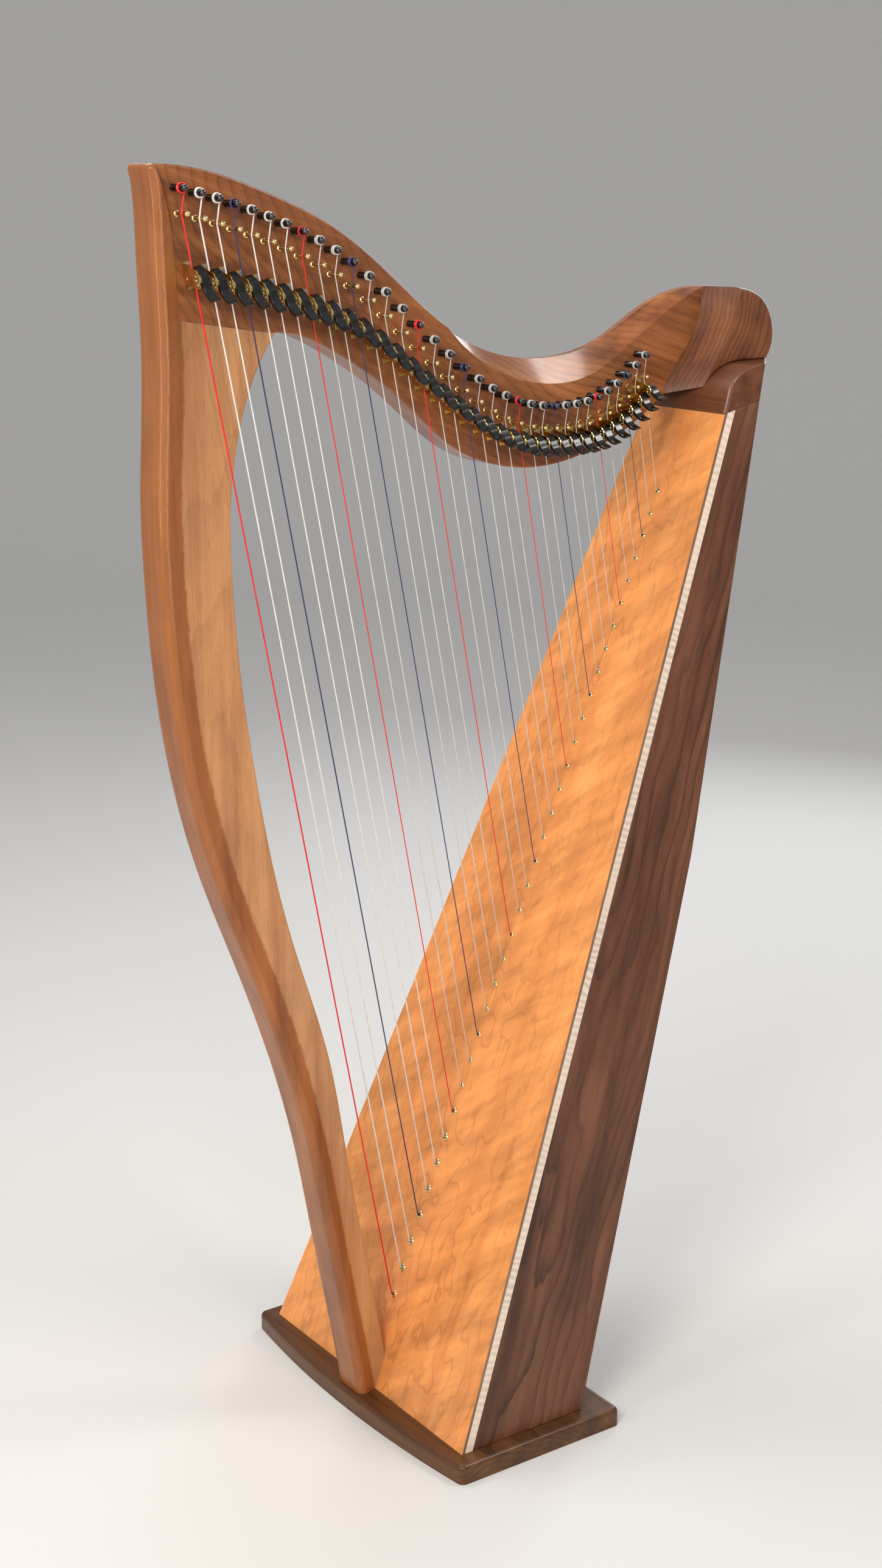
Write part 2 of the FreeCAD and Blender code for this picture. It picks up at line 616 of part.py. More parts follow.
def neck_bores():
    bores = []
    for place in PLACES:
        through = out_cylinder(PIN_RADIUS + FIT, -(NECK_THICKNESS + BORE_CLEAR), BORE_CLEAR)
        bores.append(lean(through, on_neck(place.pin_axis)))
        blind = out_cylinder(place.nut_radius + FIT, -NUT_ROOT, BORE_CLEAR)
        bores.append(lean(blind, on_neck(place.nut_axis)))
        for across, up in lever_screw_places(place):
            pilot = out_cylinder(LEVER_SCREW_RADIUS, -LEVER_SCREW_ROOT, BORE_CLEAR, across, up)
            bores.append(lean(pilot, on_neck(place.lever_point)))
    return bores


# The carved ramp down from the shoulder's face to the neck's face.
RAMP_ON_NECK = [(484, 1262), (482, 1232), (475, 1209), (460, 1183), (445, 1165), (433, 1146),
                (426, 1122)]
RAMP_ON_FACE = [(513, 1262), (504, 1235), (498, 1214), (486, 1191), (473, 1171), (462, 1152),
                (455, 1128)]


def make_shoulder_cheek():
    cheek = plank(neck_runs(), SHOULDER_NEAR, NECK_NEAR)
    left, bottom, top = -400, 1000, 1500
    loops = []
    for points, y in ((RAMP_ON_NECK, NECK_NEAR), (RAMP_ON_FACE, SHOULDER_NEAR)):
        high, low = points[0], points[-1]
        loops.append(outline([points, [low, (low[0], bottom)], [(low[0], bottom), (left, bottom)],
                              [(left, bottom), (left, top)], [(left, top), (high[0], top)],
                              [(high[0], top), high]], y))
    cheek = cheek.cut(Part.makeLoft(loops, True, True))
    face_edges = [e for e in cheek.Edges if abs(e.CenterOfMass.y - SHOULDER_NEAR) < 0.1]
    rim = max(face_edges, key=lambda e: e.CenterOfMass.x if e.BoundBox.ZMax > 1200 else 0)
    cheek = cheek.makeFillet(SHOULDER_RIM_RADIUS, [rim])
    face_edges = [e for e in cheek.Edges if abs(e.CenterOfMass.y - SHOULDER_NEAR) < 0.1]
    ridge = min(face_edges, key=lambda e: e.CenterOfMass.x)
    return cheek.makeFillet(SHOULDER_RIDGE_RADIUS, [ridge])


# ---- pieces: pins, levers, strings ---------------------------------------------------------
NUT_ROOT = 14.0
LEVER_SCREW_RADIUS = 1.2
LEVER_SCREW_ROOT = 9.0
LEVER_SCREW_HEAD = 2.1
LEVER_SCREW_HEAD_HEIGHT = 1.1
SCREW_SLOT_WIDTH = 0.5
RIVET_RADIUS = 1.9
RIVET_HEIGHT = 0.7


def make_tuning_pins():
    pins = []
    for place in PLACES:
        far = NECK_THICKNESS + PIN_KEY_REACH
        shoulder = place.pin_reach - 1.0
        shaft = out_cylinder(PIN_RADIUS, -(far - PIN_KEY_LENGTH), shoulder)
        tip = Part.makeCone(PIN_RADIUS, PIN_RADIUS - 1.0, 1.0, Vector(0, -shoulder, 0), Vector(0, -1, 0))
        half = 0.5 * PIN_KEY_SIDE
        key = Part.makeBox(PIN_KEY_SIDE, PIN_KEY_LENGTH, PIN_KEY_SIDE,
                           Vector(-half, far - PIN_KEY_LENGTH, -half))
        pins.append(lean(shaft.fuse([tip, key]), on_neck(place.pin_axis)))
    return group(pins)


def make_bridge_pins():
    pins = []
    for place in PLACES:
        radius = place.nut_radius
        contact = NECK_NEAR
        groove = radius - BRIDGE_PIN_GROOVE
        ball = BRIDGE_PIN_BALL * radius
        centre = place.nut_reach
        outline_points = [(0, -NUT_ROOT), (radius, -NUT_ROOT), (radius, contact - 1.8),
                          (groove, contact - 1.1), (groove, contact + 1.1), (radius, contact + 1.8),
                          (radius, centre), (0, centre)]
        pin = revolved(outline_points)
        pin = pin.fuse(Part.makeSphere(ball, Vector(0, 0, centre)))
        pin.rotate(ORIGIN, X_AXIS, 90)
        pins.append(lean(pin, on_neck(place.nut_axis)))
    return group(pins)


def lever_screw_places(place):
    size = place.scale
    return [(4.4 * size, place.ear_top - 3.4 * size), (4.4 * size, -6.6 * size)]


def make_lever_brackets():
    """A brass plate on the neck with one ear that carries the pivot, and a fret bar."""
    brackets = []
    for place in PLACES:
        size = place.scale
        top, low = place.ear_top, -10 * size
        edge = place.pivot_reach + 6.5 * size
        turn = 3.5 * size
        base = Part.makeBox(7.6 * size - LEVER_EAR_FAR, LEVER_PLATE, top - low,
                            Vector(LEVER_EAR_FAR, -LEVER_PLATE, low))

        def ear_place(out, up):
            return Vector(LEVER_EAR_FAR, -out, up)

        shoulder, foot = 0.45 * top + 1.0, -8 * size
        upper_turn = Part.Arc(ear_place(edge - turn, shoulder + 0.6 * turn),
                              ear_place(edge - 0.25 * turn, shoulder),
                              ear_place(edge, shoulder - turn)).toShape()
        lower_turn = Part.Arc(ear_place(edge, foot + turn), ear_place(edge - 0.3 * turn, foot + 0.3 * turn),
                              ear_place(edge - turn, foot)).toShape()
        ear_edges = [Part.makeLine(ear_place(0, -4 * size), ear_place(0, top)),
                     Part.makeLine(ear_place(0, top), ear_place(edge - turn, shoulder + 0.6 * turn)),
                     upper_turn,
                     Part.makeLine(ear_place(edge, shoulder - turn), ear_place(edge, foot + turn)),
                     lower_turn,
                     Part.makeLine(ear_place(edge - turn, foot), ear_place(0, -4 * size))]
        ear = Part.Face(Part.Wire(ear_edges)).extrude(Vector(LEVER_EAR_NEAR - LEVER_EAR_FAR, 0, 0))
        fret_top = NECK_NEAR - place.radius - 0.5
        fret = Part.makeBox(0.9 - LEVER_EAR_FAR, fret_top, 1.8 * size,
                            Vector(LEVER_EAR_FAR, -fret_top, -0.9 * size))
        bracket = base.fuse([ear, fret])
        bore = Part.makeCylinder(PIVOT_RADIUS, 6, Vector(LEVER_EAR_FAR - 1, -place.pivot_reach, 0), X_AXIS)
        bracket = bracket.cut(bore)
        for across, up in lever_screw_places(place):
            bracket = bracket.cut(out_cylinder(LEVER_SCREW_RADIUS, -1, LEVER_PLATE + 1, across, up))
        brackets.append(lean(bracket, on_neck(place.lever_point)))
    return group(brackets)


def make_lever_pivot_pins():
    pins = []
    for place in PLACES:
        end = place.handle_start + place.handle_width + 0.3
        centre = Vector(LEVER_EAR_FAR - RIVET_HEIGHT, -place.pivot_reach, 0)
        head_radius = RIVET_RADIUS * place.scale
        rivet = Part.makeCylinder(head_radius, RIVET_HEIGHT, centre, X_AXIS)
        shaft = Part.makeCylinder(PIVOT_RADIUS, end - centre.x, centre, X_AXIS)
        head_place = Vector(end, -place.pivot_reach, 0)
        head = Part.makeCylinder(head_radius, RIVET_HEIGHT, head_place, X_AXIS)
        pins.append(lean(shaft.fuse([rivet, head]), on_neck(place.lever_point)))
    return group(pins)


def make_lever_screws():
    screws = []
    for place in PLACES:
        for across, up in lever_screw_places(place):
            shank = out_cylinder(LEVER_SCREW_RADIUS, -LEVER_SCREW_ROOT, LEVER_PLATE, across, up)
            top = LEVER_PLATE + LEVER_SCREW_HEAD_HEIGHT
            head_radius = LEVER_SCREW_HEAD * place.scale
            head = out_cylinder(head_radius, LEVER_PLATE, top, across, up)
            slot = Part.makeBox(3 * head_radius, SCREW_SLOT_WIDTH, SCREW_SLOT_WIDTH,
                                Vector(across - 1.5 * head_radius, -top, up - 0.5 * SCREW_SLOT_WIDTH))
            screws.append(lean(shank.fuse(head).cut(slot), on_neck(place.lever_point)))
    return group(screws)


# A handle's own outline: along it from the pivot, and across its thickness.
HANDLE_UPPER = [(-14.5, 2.2), (-8.0, 4.4), (0.0, 4.8), (7.0, 1.2), (15.0, -1.2), (26.5, 1.4)]
HANDLE_LOWER = [(26.2, -2.4), (15.0, -5.0), (6.0, -3.6), (0.0, -3.4), (-8.0, -0.2), (-14.5, -1.6)]
HANDLE_BACK = (-16.4, 0.3)
CAM_RADIUS = 4.0
CAM_LOBE_RADIUS = 1.8
CAM_LOBE_REACH = 4.4


def make_lever(place):
    """One flip lever: a curved handle with the cam that presses on the string."""
    size = place.scale
    rest = place.handle_rest

    def at(along, across):
        along, across = along * size, across * size
        out = along * math.sin(rest) + across * math.cos(rest)
        up = across * math.sin(rest) - along * math.cos(rest)
        return Vector(place.handle_start, -(place.pivot_reach + out), up)

    def smooth(points):
        curve = Part.BSplineCurve()
        curve.interpolate([at(*point) for point in points])
        return curve.toShape()

    tip = Part.makeLine(at(*HANDLE_UPPER[-1]), at(*HANDLE_LOWER[0]))
    back = Part.Arc(at(*HANDLE_LOWER[-1]), at(*HANDLE_BACK), at(*HANDLE_UPPER[0])).toShape()
    wire = Part.Wire([smooth(HANDLE_UPPER), tip, smooth(HANDLE_LOWER), back])
    handle = Part.Face(wire).extrude(Vector(place.handle_width, 0, 0))
    start = LEVER_EAR_NEAR + 0.3
    width = place.handle_start + 1.0 - start
    centre = Vector(start, -place.pivot_reach, 0)
    lobe_angle = math.radians(180.0 - LEVER_TRAVEL)
    lobe_side = Vector(0, -math.cos(lobe_angle), math.sin(lobe_angle))
    lobe_centre = centre + lobe_side * CAM_LOBE_REACH * size
    barrel = Part.makeCylinder(CAM_RADIUS * size, width, centre, X_AXIS)
    lobe = Part.makeCylinder(CAM_LOBE_RADIUS * size, width, lobe_centre, X_AXIS)
    bore = Part.makeCylinder(PIVOT_RADIUS + FIT, 40, Vector(-20, -place.pivot_reach, 0), X_AXIS)
    lever = handle.fuse([barrel, lobe]).cut(bore)
    return lean(lever, on_neck(place.lever_point))


def make_string_eyelets():
    eyelets = []
    for place in PLACES:
        flange = place.eyelet
        tube = EYELET_TUBE * flange
        bore = EYELET_BORE * flange
        points = [(bore, -BOARD_THICKNESS), (tube, -BOARD_THICKNESS), (tube, 0), (flange, 0),
                  (0.92 * flange, 0.9), (0.7 * flange, 1.7), (0.5 * flange, 2.0), (bore, 1.6)]
        eyelets.append(on_board(revolved(points), place.distance))
    return group(eyelets)


def make_string_anchors():
    anchors = []
    for place in PLACES:
        low = BOARD_THICKNESS + RIB_DEPTH + ANCHOR_HEIGHT
        anchor = Part.makeCylinder(ANCHOR_RADIUS, ANCHOR_HEIGHT)
        anchors.append(on_board(anchor, place.distance, -low))
    return group(anchors)


def make_string(place):
    """One string: up through its eyelet, past the lever, round the bridge pin to its tuning pin.

    It passes the pillar's side of the bridge pin and the player's side of the tuning pin.
    """
    radius = place.radius
    turn_middle = PIN_RADIUS + radius + COIL_SLACK
    bend = place.nut + place.up * BRIDGE_PIN_WRAP * (place.nut_radius + radius - BRIDGE_PIN_GROOVE)
    reach = place.pin_axis - bend
    swing = math.asin(turn_middle / reach.Length)
    tangent = FreeCAD.Rotation(Y_AXIS, math.degrees(swing)).multVec(reach)
    pin_side = bend + tangent * math.cos(swing)
    route = [board_point(place.distance, -BOARD_THICKNESS - RIB_DEPTH), place.foot, bend, pin_side]
    end = Part.Wire(Part.makeCircle(radius, route[0], route[1] - route[0]))
    pipe = Part.BRepOffsetAPI.MakePipeShell(Part.makePolygon(route))
    pipe.setTransitionMode(1)
    pipe.add(end)
    pipe.build()
    pipe.makeSolid()
    coil = ring(turn_middle + radius + COIL_SLACK, PIN_RADIUS + FIT, COIL_TURNS * 2 * radius)
    coil.translate(Vector(0, 0, -COIL_START * radius))
    coil.rotate(ORIGIN, X_AXIS, 90)
    coil.translate(place.pin_axis)
    return pipe.shape().fuse(coil)


def make_strings(wanted):
    return group([make_string(place) for place in PLACES if wanted(place)])


def is_c_string(place):
    return place.number % 7 == 1


def is_f_string(place):
    return place.number % 7 == 4


def is_plain(place):
    return not is_c_string(place) and not is_f_string(place)


# ---- write every piece ----------------------------------------------------------------------
def pieces():
    named = {
        "base_board": make_base_board(),
        "base_screws": make_base_screws(),
        "soundboard": make_soundboard(),
        "string_rib": make_string_rib(),
        "edge_strip_left": make_edge_strip(-1),
        "edge_strip_right": make_edge_strip(1),
        "side_panel_left": make_side_panel(-1),
        "side_panel_right": make_side_panel(1),
        "back_panel": make_back_panel(),
        "bottom_block": make_bottom_block(),
        "soundbox_braces": make_soundbox_braces(),
        "shoulder_block": make_shoulder_block(),
        "pillar": make_pillar(),
        "neck": make_neck(),
        "shoulder_cheek": make_shoulder_cheek(),
        "tuning_pins": make_tuning_pins(),
        "bridge_pins": make_bridge_pins(),
        "lever_brackets": make_lever_brackets(),
        "lever_pivot_pins": make_lever_pivot_pins(),
        "lever_screws": make_lever_screws(),
        "string_eyelets": make_string_eyelets(),
        "string_anchors": make_string_anchors(),
        "strings_red": make_strings(is_c_string),
        "strings_blue": make_strings(is_f_string),
        "strings_wound": make_strings(lambda place: is_plain(place) and place.wound),
        "strings_clear": make_strings(lambda place: is_plain(place) and not place.wound),
    }
    for place in PLACES:
        named["lever_%02d" % place.number] = make_lever(place)
    return named


def main():
    os.makedirs("parts", exist_ok=True)
    for node, shape in pieces().items():
        shape.exportStep("parts/%s.step" % node)


main()
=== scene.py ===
import json
import math

import bmesh
import bpy
from mathutils import Matrix, Vector


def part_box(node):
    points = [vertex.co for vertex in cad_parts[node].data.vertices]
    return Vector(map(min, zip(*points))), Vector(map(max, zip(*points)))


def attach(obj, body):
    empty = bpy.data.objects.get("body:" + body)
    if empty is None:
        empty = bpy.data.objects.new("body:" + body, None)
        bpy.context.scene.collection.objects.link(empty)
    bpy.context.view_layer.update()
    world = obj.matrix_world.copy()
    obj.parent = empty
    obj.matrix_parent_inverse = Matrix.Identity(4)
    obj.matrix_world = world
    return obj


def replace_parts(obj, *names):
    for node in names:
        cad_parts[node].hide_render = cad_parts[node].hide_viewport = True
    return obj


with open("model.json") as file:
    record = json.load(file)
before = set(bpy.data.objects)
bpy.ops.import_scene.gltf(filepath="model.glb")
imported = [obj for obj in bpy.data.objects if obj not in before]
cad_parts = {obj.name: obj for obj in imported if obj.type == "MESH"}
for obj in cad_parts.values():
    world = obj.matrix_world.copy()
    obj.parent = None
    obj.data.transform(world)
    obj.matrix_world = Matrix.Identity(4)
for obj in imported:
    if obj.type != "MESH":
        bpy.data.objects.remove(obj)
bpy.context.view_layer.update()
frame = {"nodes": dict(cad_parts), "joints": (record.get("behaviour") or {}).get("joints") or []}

NODES = frame["nodes"]
BODY = "harp_frame"
MM = 0.001

# The frame's x runs from the pillar to the player, y away from the camera and z up. These are the
# harp's own directions: along the soundboard, out of it, along a string, and across the strings.
BOARD_ANGLE = math.radians(67.66)
SIDE_ANGLE = math.radians(69.4)
STRING_LEAN = math.radians(10.8)
BOARD_UP = Vector((math.cos(BOARD_ANGLE), 0, math.sin(BOARD_ANGLE)))
BOARD_OUT = Vector((-math.sin(BOARD_ANGLE), 0, math.cos(BOARD_ANGLE)))
STRING_UP = Vector((-math.sin(STRING_LEAN), 0, math.cos(STRING_LEAN)))
ACROSS = Vector((math.cos(STRING_LEAN), 0, math.sin(STRING_LEAN)))
OUT = Vector((0, -1, 0))
# The y of the neck's near face. The strings hang in the plane y = 0.
NECK_FACE = 0.015
# The pillar's middle moves sideways by PILLAR_SHIFT between these two heights, and its narrow
# body reaches PILLAR_WEB to each side of the middle.
PILLAR_FOOT, PILLAR_UPRIGHT, PILLAR_SHIFT, PILLAR_WEB = 0.022, 1.241, 0.036, 0.0205

CAMERA_PLACE = (-1.2921, -2.0120, 1.3968)
CAMERA_AZIMUTH, CAMERA_PITCH, CAMERA_ROLL = -34.84, 15.33, -0.07
CAMERA_LENS, CAMERA_SENSOR = 52.63, 36.0
PAPER = (0.74, 0.735, 0.72, 1)
SKY, SKY_STRENGTH = (0.86, 0.87, 0.90, 1), 0.55
HARP_MIDDLE = (0.1, 0.0, 0.75)


# ---- camera, floor and lights ---------------------------------------------------------------
def make_camera():
    """The photo's camera, as fitted to the soundbox, the row of string holes and the base."""
    data = bpy.data.cameras.new("camera")
    data.lens = CAMERA_LENS
    data.sensor_width = CAMERA_SENSOR
    camera = bpy.data.objects.new("camera", data)
    bpy.context.scene.collection.objects.link(camera)
    azimuth, pitch, roll = (math.radians(v) for v in (CAMERA_AZIMUTH, CAMERA_PITCH, CAMERA_ROLL))
    turn = Matrix.Rotation(azimuth, 4, "Z") @ Matrix.Rotation(math.pi / 2 - pitch, 4, "X")
    camera.matrix_world = Matrix.Translation(CAMERA_PLACE) @ turn @ Matrix.Rotation(roll, 4, "Z")
    bpy.context.scene.camera = camera


def make_light(name, place, target, size, watts, colour):
    """A rectangular softbox at place that faces target."""
    data = bpy.data.lights.new(name, "AREA")
    data.shape = "RECTANGLE"
    data.size, data.size_y = size
    data.energy = watts
    data.color = colour
    light = bpy.data.objects.new(name, data)
    bpy.context.scene.collection.objects.link(light)
    light.location = place
    aim = Vector(target) - Vector(place)
    light.rotation_euler = aim.to_track_quat("-Z", "Y").to_euler()


def make_sweep():
    """A pale floor that curves up into a wall all round, with no corner to be seen."""
    segments, bend_steps = 96, 12
    floor_radius, bend, wall = 5.0, 3.0, 3.0
    profile = [(0.6 * floor_radius, 0.0), (floor_radius, 0.0)]
    for k in range(1, bend_steps + 1):
        turn = 0.5 * math.pi * k / bend_steps
        profile.append((floor_radius + bend * math.sin(turn), bend * (1 - math.cos(turn))))
    profile.append((floor_radius + bend, bend + wall))
    verts = [(0.0, 0.0, 0.0)]
    for radius, height in profile:
        for k in range(segments):
            turn = 2 * math.pi * k / segments
            verts.append((radius * math.cos(turn), radius * math.sin(turn), height))
    faces = [(0, 1 + k, 1 + (k + 1) % segments) for k in range(segments)]
    for ring in range(len(profile) - 1):
        low, high = 1 + ring * segments, 1 + (ring + 1) * segments
        faces += [(low + k, high + k, high + (k + 1) % segments, low + (k + 1) % segments)
                  for k in range(segments)]
    mesh = bpy.data.meshes.new("studio_sweep")
    mesh.from_pydata(verts, [], faces)
    mesh.shade_smooth()
    sweep = bpy.data.objects.new("studio_sweep", mesh)
    bpy.context.scene.collection.objects.link(sweep)
    paper = bpy.data.materials.new("studio_paper")
    paper.use_nodes = True
    shader = paper.node_tree.nodes["Principled BSDF"]
    shader.inputs["Base Color"].default_value = PAPER
    shader.inputs["Roughness"].default_value = 0.85
    shader.inputs["Specular IOR Level"].default_value = 0.2
    mesh.materials.append(paper)


def make_studio():
    """The sweep, a pale sky and six softboxes, placed for the photo's highlights."""
    make_sweep()
    world = bpy.data.worlds.new("studio")
    world.use_nodes = True
    sky = world.node_tree.nodes["Background"]
    sky.inputs["Color"].default_value = SKY
    sky.inputs["Strength"].default_value = SKY_STRENGTH
    bpy.context.scene.world = world
    make_light("key_softbox", (-2.2, -1.6, 2.4), HARP_MIDDLE, (1.1, 1.1), 58, (1.0, 0.94, 0.86))
    make_light("left_strip", (-2.4, -0.15, 1.35), (0.4, 0.0, 1.15), (0.3, 1.2), 11, (1.0, 0.96, 0.92))
    make_light("hollow_softbox", (1.45, -0.95, 2.55), (0.25, 0.0, 1.15), (0.7, 0.5), 17, (1.0, 0.96, 0.92))
    make_light("top_softbox", (-0.2, 1.0, 2.8), (0.1, 0.0, 1.1), (1.4, 0.8), 20, (1.0, 0.97, 0.93))
    make_light("side_strip", (-0.4, -2.7, 1.4), HARP_MIDDLE, (0.4, 1.8), 14, (1.0, 0.97, 0.94))
    make_light("back_strip", (2.3, 1.4, 1.6), HARP_MIDDLE, (0.8, 1.8), 17, (0.95, 0.97, 1.0))
    bpy.context.scene.view_settings.view_transform = "Standard"


# ---- materials -------------------------------------------------------------------------------
class Shader:
    """A material's node tree, with a short way to add and join its nodes."""

    def __init__(self, name):
        self.material = bpy.data.materials.new(name)
        self.material.use_nodes = True
        self.tree = self.material.node_tree
        self.surface = self.tree.nodes["Principled BSDF"]
        self.place = self.tree.nodes.new("ShaderNodeTexCoord").outputs["Object"]

    def join(self, value, socket):
        if isinstance(value, bpy.types.NodeSocket):
            self.tree.links.new(value, socket)
        else:
            socket.default_value = value

    def vector_math(self, operation, a, b):
        node = self.tree.nodes.new("ShaderNodeVectorMath")
        node.operation = operation
        self.join(a, node.inputs[0])
        self.join(b, node.inputs[1])
        return node.outputs["Value"] if operation == "DOT_PRODUCT" else node.outputs["Vector"]

    def maths(self, operation, a, b=0.0, clamp=False):
        node = self.tree.nodes.new("ShaderNodeMath")
        node.operation = operation
        node.use_clamp = clamp
        self.join(a, node.inputs[0])
        self.join(b, node.inputs[1])
        return node.outputs[0]

    def combine(self, x, y, z):
        node = self.tree.nodes.new("ShaderNodeCombineXYZ")
        for value, socket in zip((x, y, z), node.inputs):
            self.join(value, socket)
        return node.outputs[0]

    def noise(self, vector, scale, detail=2.0, rough=0.5):
        node = self.tree.nodes.new("ShaderNodeTexNoise")
        self.join(vector, node.inputs["Vector"])
        node.inputs["Scale"].default_value = scale
        node.inputs["Detail"].default_value = detail
        node.inputs["Roughness"].default_value = rough
        return node.outputs["Fac"]

    def spread(self, value, low, high, out_low=0.0, out_high=1.0):
        node = self.tree.nodes.new("ShaderNodeMapRange")
        self.join(value, node.inputs["Value"])
        limits = {"From Min": low, "From Max": high, "To Min": out_low, "To Max": out_high}
        for key, number in limits.items():
            node.inputs[key].default_value = number
        return node.outputs["Result"]

    def ramp(self, value, stops):
        node = self.tree.nodes.new("ShaderNodeValToRGB")
        self.join(value, node.inputs["Fac"])
        elements = node.color_ramp.elements
        while len(elements) < len(stops):
            elements.new(0.5)
        for element, (position, colour) in zip(elements, stops):
            element.position = position
            element.color = (*colour, 1)
        return node.outputs["Color"]

    def mix(self, share, a, b, blend="MIX"):
        node = self.tree.nodes.new("ShaderNodeMix")
        node.data_type = "RGBA"
        node.blend_type = blend
        self.join(share, node.inputs["Factor"])
        self.join(a, node.inputs["A"])
        self.join(b, node.inputs["B"])
        return node.outputs["Result"]

    def bump(self, height, distance, strength=1.0):
        node = self.tree.nodes.new("ShaderNodeBump")
        self.join(height, node.inputs["Height"])
        node.inputs["Distance"].default_value = distance
        node.inputs["Strength"].default_value = strength
        self.tree.links.new(node.outputs["Normal"], self.surface.inputs["Normal"])

    def set(self, **values):
        for key, value in values.items():
            self.join(value, self.surface.inputs[key.replace("_", " ")])


def grain_frame(along, across):
    """Unit directions along the grain, across the board and through it."""
    along = Vector(along).normalized()
    across = (Vector(across) - along * along.dot(Vector(across))).normalized()
    return along, across, along.cross(across)


def pillar_front_mask(shader):
    """1 on the pillar's rounded front and cove, 0 on its flat sides and back."""
    y = shader.vector_math("DOT_PRODUCT", shader.place, (0.0, 1.0, 0.0))
    z = shader.vector_math("DOT_PRODUCT", shader.place, (0.0, 0.0, 1.0))
    middle = shader.spread(z, PILLAR_FOOT, PILLAR_UPRIGHT, 0.0, PILLAR_SHIFT)
    off_middle = shader.maths("ABSOLUTE", shader.maths("SUBTRACT", y, middle))
    cove = shader.spread(off_middle, PILLAR_WEB + 0.3 * MM, PILLAR_WEB + 0.7 * MM)
    normal = shader.tree.nodes.new("ShaderNodeTexCoord").outputs["Normal"]
    facing = shader.vector_math("DOT_PRODUCT", normal, (-1.0, 0.0, 0.0))
    return shader.maths("MAXIMUM", cove, shader.spread(facing, 0.45, 0.55))


